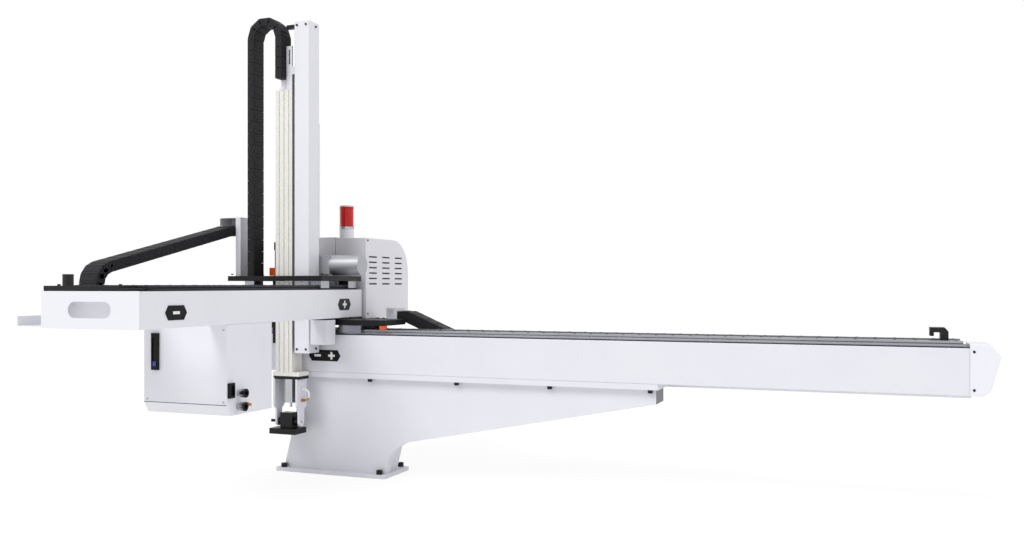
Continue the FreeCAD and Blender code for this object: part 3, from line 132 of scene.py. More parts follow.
FINISHES = {
    # Powder coat on steel and aluminium sheet: white, with the fine orange peel of the baked film.
    "powder_coat_white": dict(base="#EDEDF3", shade="#E4E4EC", rough=0.36, grain=1.8, bump=0.035),
    # The same coat on the welded pedestal and the beam, a little greyer.
    "powder_coat_pale_grey": dict(base="#E6E6EC", shade="#DBDBE3", rough=0.40, grain=2.2, bump=0.05),
    # Black oxide on machined steel: nearly black, with an oily sheen.
    "black_oxide_steel": dict(base="#0B0B0D", shade="#151518", rough=0.42, grain=0.9, bump=0.03, gloss=0.3),
    # Hardened rails and racks, ground along their length.
    "ground_steel": dict(base="#B5B6BB", shade="#96979D", rough=0.26, grain=0.6, bump=0.02, metal=1.0,
                         stretch=(0.04, 1.0, 1.0)),
    # Oiled steel strip that carries the rails: a dark grey metal. It also stands as painted shade on the end
    # face of the pedestal's bracket.
    "oiled_dark_steel": dict(base="#474851", shade="#34353D", rough=0.33, grain=1.2, bump=0.02, metal=0.85,
                             stretch=(0.05, 1.0, 1.0)),
    # Extruded aluminium with a matte anodic film, drawn along its length.
    "anodised_aluminium": dict(base="#CFCFCE", shade="#BEBEC0", rough=0.38, grain=0.7, bump=0.02, metal=0.75,
                               stretch=(1.0, 1.0, 0.04)),
    # The arm's ribbed profile: a pale ivory anodic film.
    "anodised_ivory_aluminium": dict(base="#F3F2ED", shade="#E8E7E0", rough=0.42, grain=0.7, bump=0.02,
                                     metal=0.0, stretch=(1.0, 1.0, 0.04)),
    # Cable chains of moulded glass-filled nylon: charcoal, faintly grained.
    "moulded_nylon_black": dict(base="#131316", shade="#202025", rough=0.6, grain=1.6, bump=0.08, gloss=0.28),
    # Motor housings and the rotary unit in satin black enamel.
    "satin_black_enamel": dict(base="#08080A", shade="#121215", rough=0.36, grain=1.6, bump=0.04, gloss=0.3),
    # Cast aluminium, blasted.
    "blasted_cast_aluminium": dict(base="#BDBEC2", shade="#A3A4A9", rough=0.44, grain=0.8, bump=0.06,
                                   metal=0.8),
    # Toothed belt of moulded polyurethane.
    "moulded_polyurethane_black": dict(base="#1C1C1E", shade="#28282B", rough=0.62, grain=1.0, bump=0.05),
    # The signal light's lens: red polycarbonate, only faintly clear.
    "red_polycarbonate": dict(base="#E8191B", shade="#D31014", rough=0.14, grain=3.0, bump=0.01, clear=0.06),
    # Hard-anodised running strip and rails of the crosswise beams: slate grey, nearly matte.
    "hard_anodised_slate": dict(base="#35353F", shade="#2A2A33", rough=0.44, grain=0.8, bump=0.02, gloss=0.35,
                                stretch=(1.0, 0.05, 1.0)),
    # Turned brass fittings.
    "turned_brass": dict(base="#C79A63", shade="#A97C49", rough=0.25, grain=0.5, bump=0.02, metal=1.0),
    # Nickel plate of the couplings, the wrist's cylinder and small fittings.
    "nickel_plate": dict(base="#C9C9CC", shade="#ABABB0", rough=0.18, grain=1.1, bump=0.01, metal=1.0),
    # Black moulded plastic of the socket, the couplings' sleeves and the direction plates.
    "moulded_abs_black": dict(base="#060607", shade="#0D0D0F", rough=0.34, grain=1.2, bump=0.03, gloss=0.2),
    # White plastic of the raised marks, the hose and the lamp's cap.
    "gloss_white_plastic": dict(base="#F2F2F0", shade="#E8E8E6", rough=0.30, grain=2.0, bump=0.01),
    # Orange nylon plug housings.
    "moulded_nylon_orange": dict(base="#E9571D", shade="#D74A14", rough=0.38, grain=1.2, bump=0.03),
    # The float of the level gauge.
    "moulded_plastic_blue": dict(base="#2F55B5", shade="#26469A", rough=0.30, grain=1.0, bump=0.02),
}


def metres(millimetres):
    """A length in mm as metres."""
    return millimetres / 1000


def finish_material(name):
    """The material of that name, made once from its line in FINISHES."""
    material = bpy.data.materials.get(name)
    if material:
        return material
    values = FINISHES[name]
    material = bpy.data.materials.new(name)
    material.use_nodes = True
    tree = material.node_tree
    tree.nodes.clear()
    place = add_node(tree, "ShaderNodeTexCoord")
    mapping = add_node(tree, "ShaderNodeMapping", inputs={
        "Vector": place.outputs["Object"], "Scale": values.get("stretch", (1.0, 1.0, 1.0))})
    grain = add_node(tree, "ShaderNodeTexNoise", inputs={
        "Vector": mapping.outputs["Vector"], "Scale": 1 / metres(values["grain"]), "Detail": 3.0})
    cloud = add_node(tree, "ShaderNodeTexNoise", inputs={
        "Vector": place.outputs["Object"], "Scale": 1 / metres(CLOUD_SIZE), "Detail": 2.0})
    blend = add_node(tree, "ShaderNodeMath", {"operation": "MULTIPLY_ADD"}, {
        0: grain.outputs["Fac"], 1: GRAIN_SHARE, 2: GRAIN_SHIFT})
    both = add_node(tree, "ShaderNodeMath", {"operation": "MULTIPLY_ADD", "use_clamp": True}, {
        0: cloud.outputs["Fac"], 1: CLOUD_SHARE, 2: blend.outputs["Value"]})
    colour = add_node(tree, "ShaderNodeMix", {"data_type": "RGBA"}, {
        0: both.outputs["Value"], 6: linear(values["base"]), 7: linear(values["shade"])})
    rough = add_node(tree, "ShaderNodeMapRange", inputs={
        "Value": both.outputs["Value"], "To Min": values["rough"] - SMOOTHER,
        "To Max": values["rough"] + ROUGHER})
    bump = add_node(tree, "ShaderNodeBump", inputs={
        "Height": grain.outputs["Fac"], "Distance": metres(BUMP_DEPTH),
        "Strength": values["bump"] * BUMP_GAIN})
    shader = add_node(tree, "ShaderNodeBsdfPrincipled", inputs={
        "Base Color": colour.outputs[2], "Roughness": rough.outputs["Result"],
        "Normal": bump.outputs["Normal"], "Metallic": values.get("metal", 0.0),
        "Specular IOR Level": values.get("gloss", 0.5), "Transmission Weight": values.get("clear", 0.0)})
    add_node(tree, "ShaderNodeOutputMaterial", inputs={"Surface": shader.outputs["BSDF"]})
    return material


# Meshes


def new_object(name, mesh):
    """An object with that data, in the scene, at the origin."""
    piece = bpy.data.objects.new(name, mesh)
    bpy.context.scene.collection.objects.link(piece)
    return piece


def mesh_from(name, build):
    """A mesh object at the origin, filled by build(bmesh)."""
    mesh = bpy.data.meshes.new(name)
    work = bmesh.new()
    build(work)
    bmesh.ops.recalc_face_normals(work, faces=work.faces)
    work.to_mesh(mesh)
    work.free()
    return new_object(name, mesh)


def add_block(work, low, high, bevel=0.0):
    """A block between two corners in mm, with its edges bevelled."""
    centre = [metres(a + b) / 2 for a, b in zip(low, high)]
    size = [metres(b - a) for a, b in zip(low, high)]
    made = bmesh.ops.create_cube(work, size=1.0)
    bmesh.ops.scale(work, vec=size, verts=made["verts"])
    bmesh.ops.translate(work, vec=centre, verts=made["verts"])
    if bevel:
        edges = list({edge for vert in made["verts"] for edge in vert.link_edges})
        bmesh.ops.bevel(work, geom=edges, offset=metres(bevel), segments=2, profile=0.5, affect="EDGES")


def add_turned(work, profile, centre, axis="z", steps=24):
    """A closed turned form. profile is (along, radius) in mm, from the axis back to the axis."""
    rings = []
    for along, radius in profile:
        ring = []
        for index in range(steps if radius > 0 else 1):
            angle = 2 * math.pi * index / steps
            a, b = radius * math.cos(angle), radius * math.sin(angle)
            point = {"x": (along, a, b), "y": (b, along, a), "z": (a, b, along)}[axis]
            ring.append(work.verts.new([metres(p + c) for p, c in zip(point, centre)]))
        rings.append(ring)
    for first, second in zip(rings, rings[1:]):
        for index in range(steps):
            after = (index + 1) % steps
            corners = [first[index % len(first)], first[after % len(first)],
                       second[after % len(second)], second[index % len(second)]]
            face = []
            for corner in corners:
                if corner not in face:
                    face.append(corner)
            if len(face) > 2:
                work.faces.new(face)


def add_prism(work, outline, axis, start, end):
    """A flat outline in mm, drawn on the plane square to axis and raised from start to end."""
    order = {"x": (2, 0, 1), "y": (0, 2, 1), "z": (0, 1, 2)}[axis]
    caps = []
    for level in (start, end):
        cap = []
        for a, b in outline:
            point = (a, b, level)
            cap.append(work.verts.new([metres(point[i]) for i in order]))
        caps.append(cap)
    work.faces.new(caps[0])
    work.faces.new(list(reversed(caps[1])))
    for index in range(len(outline)):
        after = (index + 1) % len(outline)
        work.faces.new([caps[0][index], caps[0][after], caps[1][after], caps[1][index]])


def paint(piece, *names):
    """Gives the piece these finishes, one material slot each."""
    piece.data.materials.clear()
    for name in names:
        piece.data.materials.append(finish_material(name))
    return piece


def paint_faces(piece, index, test):
    """Faces whose centre, in mm, and normal pass the test take the finish in that slot."""
    for face in piece.data.polygons:
        if test(face.center * 1000, face.normal):
            face.material_index = index


def plain_mesh(piece):
    """The piece with its modifiers turned to a plain mesh."""
    bpy.context.view_layer.update()
    shown = piece.evaluated_get(bpy.context.evaluated_depsgraph_get())
    mesh = bpy.data.meshes.new_from_object(shown)
    old = piece.data
    piece.modifiers.clear()
    piece.data = mesh
    bpy.data.meshes.remove(old)
    mesh.name = piece.name
    return piece


def softened(node, name, radius, *finishes):
    """A copy of a CAD node with merged, softly bevelled edges. radius is in mm."""
    piece = new_object(name, NODES[node].data.copy())
    work = bmesh.new()
    work.from_mesh(piece.data)
    bmesh.ops.remove_doubles(work, verts=work.verts, dist=metres(MERGE_DISTANCE))
    bmesh.ops.dissolve_limit(
        work, angle_limit=math.radians(FLAT_ANGLE), verts=work.verts, edges=work.edges)
    work.to_mesh(piece.data)
    work.free()
    if radius:
        bevel = piece.modifiers.new("soft edges", "BEVEL")
        bevel.width = metres(radius)
        bevel.segments = 2
        bevel.limit_method = "ANGLE"
        bevel.angle_limit = math.radians(SHARP_ANGLE)
        plain_mesh(piece)
    paint(piece, *finishes)
    for face in piece.data.polygons:
        face.material_index = 0
    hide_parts(node)
    return piece


def joined(name, pieces):
    """Several mesh objects made one. Their finishes are kept."""
    work = bmesh.new()
    materials = []
    for piece in pieces:
        slots = []
        for material in piece.data.materials:
            if material not in materials:
                materials.append(material)
            slots.append(materials.index(material))
        before = len(work.faces)
        work.from_mesh(piece.data)
        work.faces.ensure_lookup_table()
        for face in work.faces[before:]:
            face.material_index = slots[face.material_index] if slots else 0
    mesh = bpy.data.meshes.new(name)
    work.to_mesh(mesh)
    work.free()
    for material in materials:
        mesh.materials.append(material)
    for piece in pieces:
        old = piece.data
        bpy.data.objects.remove(piece)
        bpy.data.meshes.remove(old)
    return new_object(name, mesh)


# Repeated pieces


def repeat_tree():
    """Puts a piece at each point, turned by the point's own 'turn', and gives it a material."""
    tree = bpy.data.node_groups.get("Repeat a piece")
    if tree:
        return tree
    tree = bpy.data.node_groups.new("Repeat a piece", "GeometryNodeTree")
    tree.interface.new_socket("Places", in_out="INPUT", socket_type="NodeSocketGeometry")
    tree.interface.new_socket("Piece", in_out="INPUT", socket_type="NodeSocketObject")
    tree.interface.new_socket("Size", in_out="INPUT", socket_type="NodeSocketFloat")
    tree.interface.new_socket("Finish", in_out="INPUT", socket_type="NodeSocketMaterial")
    tree.interface.new_socket("Geometry", in_out="OUTPUT", socket_type="NodeSocketGeometry")
    given = add_node(tree, "NodeGroupInput")
    piece = add_node(tree, "GeometryNodeObjectInfo", {"transform_space": "ORIGINAL"},
                     {"Object": given.outputs["Piece"]})
    turn = add_node(tree, "GeometryNodeInputNamedAttribute", {"data_type": "FLOAT_VECTOR"}, {"Name": "turn"})
    rotation = add_node(tree, "FunctionNodeEulerToRotation", inputs={"Euler": turn.outputs["Attribute"]})
    copies = add_node(tree, "GeometryNodeInstanceOnPoints", inputs={
        "Points": given.outputs["Places"], "Instance": piece.outputs["Geometry"],
        "Rotation": rotation.outputs["Rotation"], "Scale": given.outputs["Size"]})
    real = add_node(tree, "GeometryNodeRealizeInstances", inputs={"Geometry": copies.outputs["Instances"]})
    dressed = add_node(tree, "GeometryNodeSetMaterial", inputs={
        "Geometry": real.outputs["Geometry"], "Material": given.outputs["Finish"]})
    add_node(tree, "NodeGroupOutput", inputs={"Geometry": dressed.outputs["Geometry"]})
    return tree


def repeated(name, piece, places, finish):
    """Copies of piece at each (point in mm, turn in radians), as one plain mesh."""
    mesh = bpy.data.meshes.new(name)
    mesh.from_pydata([[metres(c) for c in point] for point, turn in places], [], [])
    turns = mesh.attributes.new("turn", "FLOAT_VECTOR", "POINT")
    turns.data.foreach_set("vector", [value for point, turn in places for value in turn])
    result = new_object(name, mesh)
    tree = repeat_tree()
    modifier = result.modifiers.new("repeat", "NODES")
    modifier.node_group = tree
    values = {"Piece": piece, "Size": 1.0, "Finish": finish_material(finish)}
    for socket in tree.interface.items_tree:
        if socket.in_out == "INPUT" and socket.name in values:
            modifier[socket.identifier] = values[socket.name]
    plain_mesh(result)
    old = piece.data
    bpy.data.objects.remove(piece)
    bpy.data.meshes.remove(old)
    return result


# How a screw that stands along z is turned to face each way, in radians.
TURNS = {"+x": (0, math.pi / 2, 0), "-x": (0, -math.pi / 2, 0), "+y": (-math.pi / 2, 0, 0),
         "-y": (math.pi / 2, 0, 0), "+z": (0, 0, 0), "-z": (math.pi, 0, 0)}


def screw_head(radius, height):
    """A cap screw's head with its socket, standing on the origin."""
    sunk = -0.4
    rim = radius * 0.12
    socket = radius * 0.5
    floor = height * 0.45
    profile = [(sunk, 0), (sunk, radius), (height - rim, radius), (height, radius - rim),
               (height, radius * 0.55), (floor, socket), (floor, 0)]
    return mesh_from("screw_head", lambda work: add_turned(work, profile, (0, 0, 0)))


def block(name, body, low, high, bevel, finish):
    """A bevelled block between two corners in mm, which rides on one body."""
    piece = mesh_from(name, lambda work: add_block(work, low, high, bevel))
    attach(paint(piece, finish), body)


def screws(name, body, radius, height, finish, facing, points):
    """A group of like screws that ride on one body."""
    places = [(point, TURNS[facing]) for point in points]
    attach(repeated(name, screw_head(radius, height), places, finish), body)


# Settings


class RobotPaint(bpy.types.PropertyGroup):
    """Colours of the stage and the softness of painted edges."""

    floor_colour: bpy.props.FloatVectorProperty(
        name="Floor", description="Colour of the floor", subtype="COLOR", size=4,
        default=linear("#FAFAFA"), min=0, max=1)
    sheet_edge: bpy.props.FloatProperty(
        name="Sheet edge", description="Radius of the bent sheet covers' edges in mm",
        default=1.6, min=0, max=4)
    cast_edge: bpy.props.FloatProperty(
        name="Beam edge", description="Radius of the beams' and the pedestal's edges in mm",
        default=2.5, min=0, max=5)
    plate_edge: bpy.props.FloatProperty(
        name="Plate edge", description="Chamfer of machined plates in mm", default=0.9, min=0, max=3)


class RobotChain(bpy.types.PropertyGroup):
    """Sizes of the cable chains' links."""

    bar_length: bpy.props.FloatProperty(
        name="Crossbar", description="Length of a crossbar along the chain in mm",
        default=15.0, min=4, max=30)
    bar_rise: bpy.props.FloatProperty(
        name="Crossbar rise", description="How far a crossbar stands proud in mm",
        default=1.1, min=0.2, max=2)
    boss_radius: bpy.props.FloatProperty(
        name="Pin boss", description="Radius of the boss round each pin in mm", default=10.0, min=4, max=14)


class RobotTrim(bpy.types.PropertyGroup):
    """Sizes of small repeated details."""

    rail_screw_pitch: bpy.props.FloatProperty(
        name="Rail screw pitch", description="Distance between the rails' screws in mm",
        default=60.0, min=30, max=120)
    tube_rib_pitch: bpy.props.FloatProperty(
        name="Tube rib pitch", description="Distance between the arm tube's ribs in mm",
        default=11.0, min=6, max=20)
    lens_rib_pitch: bpy.props.FloatProperty(
        name="Lens rib pitch", description="Distance between the lens's rings in mm",
        default=9.0, min=4, max=20)


# Stage


class ROBOT_OT_stage(bpy.types.Operator):
    """Set up the camera, the floor and the light"""

    bl_idname = "robot.stage"
    bl_label = "Camera, floor and light"

    def execute(self, context):
        scene = context.scene
        scene.view_settings.view_transform = "Standard"
        lens = bpy.data.cameras.new("camera")
        lens.sensor_width = SENSOR_WIDTH
        lens.lens = FOCAL_LENGTH
        lens.shift_y = LENS_SHIFT
        lens.clip_end = 100.0
        camera = new_object("camera", lens)
        camera.location = CAMERA_PLACE
        camera.rotation_euler = (math.pi / 2, 0, math.atan2(*CAMERA_AIM))
        scene.camera = camera
        floor = mesh_from("floor", lambda work: bmesh.ops.create_grid(
            work, x_segments=1, y_segments=1, size=40))
        floor.data.materials.append(self.floor_material(scene.robot_paint.floor_colour))
        self.world(scene)
        self.sun("key", 1.3, 28, (-0.30, -0.80, 0.85))
        self.sun("fill", 0.35, 40, (0.9, 0.2, 0.7))
        return {"FINISHED"}

    def floor_material(self, colour):
        """Pale floor that shows near white to the eye and keeps a soft shadow."""
        material = bpy.data.materials.new("matte_floor_paint")
        material.use_nodes = True
        tree = material.node_tree
        tree.nodes.clear()
        place = add_node(tree, "ShaderNodeTexCoord")
        grain = add_node(tree, "ShaderNodeTexNoise", inputs={
            "Vector": place.outputs["Object"], "Scale": 60.0})
        bump = add_node(tree, "ShaderNodeBump", inputs={
            "Height": grain.outputs["Fac"], "Distance": metres(0.4), "Strength": 0.1})
        paint_shader = add_node(tree, "ShaderNodeBsdfPrincipled", inputs={
            "Base Color": tuple(colour), "Roughness": 0.8, "Normal": bump.outputs["Normal"]})
        white = add_node(tree, "ShaderNodeEmission", inputs={"Color": (1, 1, 1, 1), "Strength": 1.05})
        share = add_node(tree, "ShaderNodeMath", {"operation": "MULTIPLY"}, {
            0: self.seen(tree), 1: 0.80})
        mix = add_node(tree, "ShaderNodeMixShader", inputs={
            0: share.outputs["Value"], 1: paint_shader.outputs["BSDF"], 2: white.outputs["Emission"]})
        add_node(tree, "ShaderNodeOutputMaterial", inputs={"Surface": mix.outputs["Shader"]})
        return material

    def seen(self, tree):
        """1 for rays from the camera, and for those that a gloss or clear piece sends on."""
        path = add_node(tree, "ShaderNodeLightPath")
        first = add_node(tree, "ShaderNodeMath", {"operation": "MAXIMUM"}, {
            0: path.outputs["Is Camera Ray"], 1: path.outputs["Is Glossy Ray"]})
        both = add_node(tree, "ShaderNodeMath", {"operation": "MAXIMUM"}, {
            0: first.outputs["Value"], 1: path.outputs["Is Transmission Ray"]})
        return both.outputs["Value"]

    def world(self, scene):
        """White background, and an even light that is a little weaker than it."""
        world = bpy.data.worlds.new("studio")
        scene.world = world
        world.use_nodes = True
        tree = world.node_tree
        tree.nodes.clear()
        strength = add_node(tree, "ShaderNodeMapRange", inputs={
            "Value": self.seen(tree), "To Min": 0.66, "To Max": 1.0})
        light = add_node(tree, "ShaderNodeBackground", inputs={
            "Color": (1, 1, 1, 1), "Strength": strength.outputs["Result"]})
        add_node(tree, "ShaderNodeOutputWorld", inputs={"Surface": light.outputs["Background"]})

    def sun(self, name, strength, softness, towards):
        """A soft sun that shines from that direction."""
        data = bpy.data.lights.new(name, "SUN")
        data.energy = strength
        data.angle = math.radians(softness)
        lamp = new_object(name, data)
        lamp.rotation_euler = Vector(towards).to_track_quat("Z", "Y").to_euler()


# Finishes of the CAD nodes that stay


KEPT = {
    "hard_anodised_slate": ("frame_rails",),
    "ground_steel": ("traverse_rails", "traverse_rack", "crosswise_rack", "lift_rack",
                     "traverse_pinion", "crosswise_pinion", "lift_pinion", "arm_carriage_blocks",
                     "stage_blocks", "traverse_blocks"),
    "oiled_dark_steel": ("beam_bed", "column_rails"),
    "black_oxide_steel": ("base_bolts", "flange_bolts", "end_stops", "column_fittings", "arm_upright"),
    "anodised_aluminium": ("column_beam", "upper_pulley", "lower_pulley"),
    "anodised_ivory_aluminium": ("arm_tube",),
    "moulded_polyurethane_black": ("telescope_belt",),
    "red_polycarbonate": ("signal_light_lens",),
    "satin_black_enamel": ("traverse_motor", "crosswise_motor"),
    "blasted_cast_aluminium": ("lift_motor",),
    "powder_coat_white": ("tube_brackets", "traverse_chain_bracket"),
}


class ROBOT_OT_finishes(bpy.types.Operator):
    """Give the plain CAD pieces their finishes"""

    bl_idname = "robot.finishes"
    bl_label = "Finishes"

    def execute(self, context):
        for finish, nodes in KEPT.items():
            for node in nodes:
                paint(NODES[node], finish)
        fittings = paint(NODES["valve_box_fittings"], "moulded_abs_black", "nickel_plate", "turned_brass")
        # The couplings are nickel with black sleeves, and the outlet is brass.
        paint_faces(fittings, 1, lambda at, way: at.x > 61.5 and at.y < -730
                    or 52 < at.x < 72 and -767 < at.y < -730)
        paint_faces(fittings, 0, lambda at, way: at.x > 72 and at.y < -725)
        paint_faces(fittings, 2, lambda at, way: at.y > -724)
        wrist = paint(NODES["wrist_frame"], "powder_coat_white", "nickel_plate", "gloss_white_plastic",
                      "turned_brass", "satin_black_enamel")
        # The top plate is black, the cylinder nickel, the hose white and its lower end brass.
        paint_faces(wrist, 4, lambda at, way: at.z > 384)
        paint_faces(wrist, 1, lambda at, way: -157 < at.x < -123 and -177 < at.y < -130 and 272 < at.z < 387
                    and abs(at.x + 140) < 16.5)
        paint_faces(wrist, 2, lambda at, way: at.x > -89.5 and -167 < at.y < -153 and at.z < 352)
        paint_faces(wrist, 3, lambda at, way: at.x > -89.5 and -167 < at.y < -153 and at.z < 312)
        # The ends of the wrist's shaft are bright.
        unit = paint(NODES["rotary_unit"], "satin_black_enamel", "nickel_plate")
        paint_faces(unit, 1, lambda at, way: at.x < -222 or at.x > -98)
        # All but the underside of the tool plate is enamelled.
        tool = paint(NODES["tool_plate"], "blasted_cast_aluminium", "satin_black_enamel")
        paint_faces(tool, 1, lambda at, way: way.z > -0.5)
        return {"FINISHED"}


SOFT = {
    # CAD node: (body, edge setting, finish)
    "base_plate": ("base", "plate_edge", "powder_coat_pale_grey"),
    "beam_flange": ("base", "plate_edge", "powder_coat_pale_grey"),
    "traverse_beam": ("base", "cast_edge", "powder_coat_pale_grey"),
    "beam_end_cover": ("base", "cast_edge", "powder_coat_white"),
    "traverse_tray": ("base", "plate_edge", "powder_coat_white"),
    "carriage_plate": ("traverse_carriage", "plate_edge", "black_oxide_steel"),
    "frame_end_cap": ("traverse_carriage", "sheet_edge", "powder_coat_white"),
    "near_stop": ("traverse_carriage", "plate_edge", "black_oxide_steel"),
    "valve_box": ("traverse_carriage", "sheet_edge", "powder_coat_white"),
    "crosswise_tray": ("traverse_carriage", "plate_edge", "powder_coat_white"),
    "louvred_cabinet": ("traverse_carriage", "sheet_edge", "powder_coat_white"),
    "side_cover": ("traverse_carriage", "sheet_edge", "powder_coat_white"),
    "chain_hood": ("arm_carriage", "plate_edge", "powder_coat_white"),
    "arm_plate": ("arm_carriage", "plate_edge", "black_oxide_steel"),
    "lower_guide": ("arm_carriage", "sheet_edge", "powder_coat_pale_grey"),
    "column_cover": ("column", "sheet_edge", "powder_coat_white"),
}


class ROBOT_OT_shells(bpy.types.Operator):
    """Soften the edges of the beams, covers and plates"""

    bl_idname = "robot.shells"
    bl_label = "Beams, covers and plates"

    def execute(self, context):
        settings = context.scene.robot_paint
        for node, (body, edge, finish) in SOFT.items():
            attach(softened(node, node + "_shell", getattr(settings, edge), finish), body)
        # The end face of the pedestal's bracket is painted dark as painted shade, for the shadow inside the
        # bracket's open end. The strip on the frame's beams is dark.
        bracket_end, strip_level = 1314, 738
        pedestal = softened("pedestal", "pedestal_shell", settings.cast_edge,
                            "powder_coat_pale_grey", "oiled_dark_steel")
        # Painted shade: the bracket's end face takes the dark steel finish.
        paint_faces(pedestal, 1, lambda at, way: at.x > bracket_end and way.x > 0.9)
        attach(pedestal, "base")
        beams = softened("frame_beams", "frame_beams_shell", settings.cast_edge,
                         "powder_coat_white", "hard_anodised_slate")
        paint_faces(beams, 1, lambda at, way: at.z > strip_level and way.z > 0.5)
        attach(beams, "traverse_carriage")
        return {"FINISHED"}


# Cable chains


def link_places(node):
    """Centre in mm of each link of a chain node, in the order that they are in the mesh."""
    work = bmesh.new()
    work.from_mesh(NODES[node].data)
    bmesh.ops.remove_doubles(work, verts=work.verts, dist=metres(MERGE_DISTANCE))
    seen = set()
    links = []
    for vert in work.verts:
        if vert in seen:
            continue
        island = []
        todo = [vert]
        seen.add(vert)
        while todo:
            here = todo.pop()
            island.append(here.co * 1000)
            for edge in here.link_edges:
                other = edge.other_vert(here)
                if other not in seen:
                    seen.add(other)
                    todo.append(other)
        links.append(sum(island, Vector()) / len(island))
    work.free()
    return links


def chained(centres, start):
    """The centres in order along the chain, from the one nearest start."""
    left = list(centres)
    order = []
    here = Vector(start)
    while left:
        nearest = min(left, key=lambda centre: (centre - here).length)
        left.remove(nearest)
        order.append(nearest)
        here = nearest
    return order


def dressed_chain(context, node, across, start):
    """One run or bend of a chain: its links with crossbars on both faces and bosses on both sides."""
    settings = context.scene.robot_chain
    low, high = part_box(node)
    index = {"x": 0, "y": 1}[across]
    width = (high[index] - low[index]) * 1000
    height = CHAIN_HEIGHT[node.split("_")[0]]
    centres = chained(link_places(node), start)
    bars = []
    bosses = []
    for number, centre in enumerate(centres):
        before = centres[max(number - 1, 0)]
        after = centres[min(number + 1, len(centres) - 1)]
        way = (after - before).normalized() if len(centres) > 1 else Vector((0, 0, 1))
        if across == "y":
            turn = (0, -math.atan2(way.z, way.x), 0)
            out = Vector((-way.z, 0, way.x))
            side = Vector((0, 1, 0))
        else:
            turn = (math.atan2(way.z, way.y), 0, 0)
            out = Vector((0, -way.z, way.y))
            side = Vector((1, 0, 0))
        for sign in (-1, 1):
            bars.append((centre + out * (sign * height / 2), turn))
            for step in (-BOSS_SHARE, BOSS_SHARE):
                bosses.append((centre + side * (sign * width / 2) + way * (step * LINK_LENGTH), turn))
    half = width / 2 - BAR_INSET
    along = settings.bar_length / 2
    rise = settings.bar_rise
    corner = {"y": (along, half, rise), "x": (half, along, rise)}[across]
    bar = mesh_from("bar", lambda work: add_block(work, [-c for c in corner], corner, BAR_EDGE))
    rim = settings.boss_radius - BOSS_CHAMFER
    boss_profile = [(-BOSS_RISE, 0), (-BOSS_RISE, rim), (-0.3, settings.boss_radius),
                    (0.3, settings.boss_radius), (BOSS_RISE, rim), (BOSS_RISE, 0)]
    boss = mesh_from("boss", lambda work: add_turned(work, boss_profile, (0, 0, 0), across, 16))
    links = softened(node, "links", LINK_EDGE, "moulded_nylon_black")
    piece = joined(node + "_links", [
        links, repeated("bars", bar, bars, "moulded_nylon_black"),
        repeated("bosses", boss, bosses, "moulded_nylon_black")])
    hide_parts(node)
    return piece


class ROBOT_OT_chains(bpy.types.Operator):
    """Dress the three cable chains"""

    bl_idname = "robot.chains"
    bl_label = "Cable chains"

    def execute(self, context):
        # Each line names the direction across the chain and a point in mm by its first link.
        loops = {
            "traverse_chain_loop": ("traverse_chain", "y", (1300, 134, 400)),
            "crosswise_chain_loop": ("crosswise_chain", "x", (-424, -834, 650)),
            "lift_chain_loop": ("column", "y", (-285, -192, 1730)),
        }
        for node, (body, across, start) in loops.items():
            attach(dressed_chain(context, node, across, start), body)
        # A run goes from the body at its start to the one at its end. Its bend moves at half the speed of the
        # moving end, so the line from start to end is twice the run's length. Here each run is dressed and
        # baked where it stands.
        runs = {
            "traverse_chain_lower": ("y", (800, 134, 410), "base", "traverse_carriage",
                                     (0.8, 0, 0), (1.8, 0, 0)),
            "traverse_chain_upper": ("y", (1300, 134, 540), "base", "traverse_carriage",
                                     (2.4, 0, 0), (0.2, 0, 0)),
            "crosswise_chain_lower": ("x", (-424, 19, 650), "traverse_carriage", "arm_carriage",
                                      (0, 0.019, 0), (0, -1.687, 0)),
            "crosswise_chain_upper": ("x", (-424, -869, 820), "traverse_carriage", "arm_carriage",
                                      (0, -1.553, 0), (0, -0.115, 0)),
            "lift_chain_fixed_run": ("y", (-285, -192, 800), "arm_carriage", "column",
                                     (0, 0, 0.8), (0, 0, 1.739)),
            "lift_chain_moving_run": ("y", (-155, -192, 1741), "column", "arm",
                                      (0, 0, 1.739), (0, 0, 1.573)),
        }
        for node, (across, start, first, second, begin, end) in runs.items():
            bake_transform(dressed_chain(context, node, across, start))
        return {"FINISHED"}


# Signs


def hexagon(left, right, low, high):
    """A flat-topped plate's outline whose two ends come to a blunt point."""
    point = (high - low) * 0.3
    middle = (low + high) / 2
    return [(left, middle), (left + point, low), (right - point, low), (right, middle),
            (right - point, high), (left + point, high)]


class ROBOT_OT_signs(bpy.types.Operator):
    """Fix the three travel direction plates"""

    bl_idname = "robot.signs"
    bl_label = "Direction plates"

    def execute(self, context):
        self.sign("direction_plate_out", "traverse_carriage", "x", FRAME_SIDE,
                  (-1103, -1007, 652, 697), [(-1055, False)])
        self.sign("direction_plate_in", "traverse_carriage", "x", FRAME_SIDE,
                  (-121, -26, 659, 704), [(-73, True)])
        self.sign("direction_plate_beam", "base", "y", BEAM_FRONT,
                  (-93, 52, 455, 499), [(-52, False), (12, True)])
        return {"FINISHED"}

    def sign(self, name, body, axis, face, edges, marks):
        """A black plate with a raised white minus or plus at each mark. edges and marks are in mm."""
        out = 1 if axis == "x" else -1
        sunk, proud, mark_foot = 0.3, 1.8, 1.6
        stroke = (15, 4.5)
        left, right, low, high = edges
        middle = (low + high) / 2
        plate = mesh_from("plate", lambda work: add_prism(
            work, hexagon(left, right, low, high), axis, face - sunk * out, face + proud * out))
        paint(plate, "moulded_abs_black")

        def draw(work):
            for at, plus in marks:
                for length, height in [stroke, stroke[::-1]] if plus else [stroke]:
                    outline = [(at - length, middle - height), (at + length, middle - height),
                               (at + length, middle + height), (at - length, middle + height)]
                    # The upright stroke stands higher, so that the two faces aren't in one plane.
                    rise = 2.4 if length > height else 2.5
                    add_prism(work, outline, axis, face + mark_foot * out, face + rise * out)

        marks_piece = paint(mesh_from("marks", draw), "gloss_white_plastic")
        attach(joined(name, [plate, marks_piece]), body)


# Rails, tube, lamp and motors


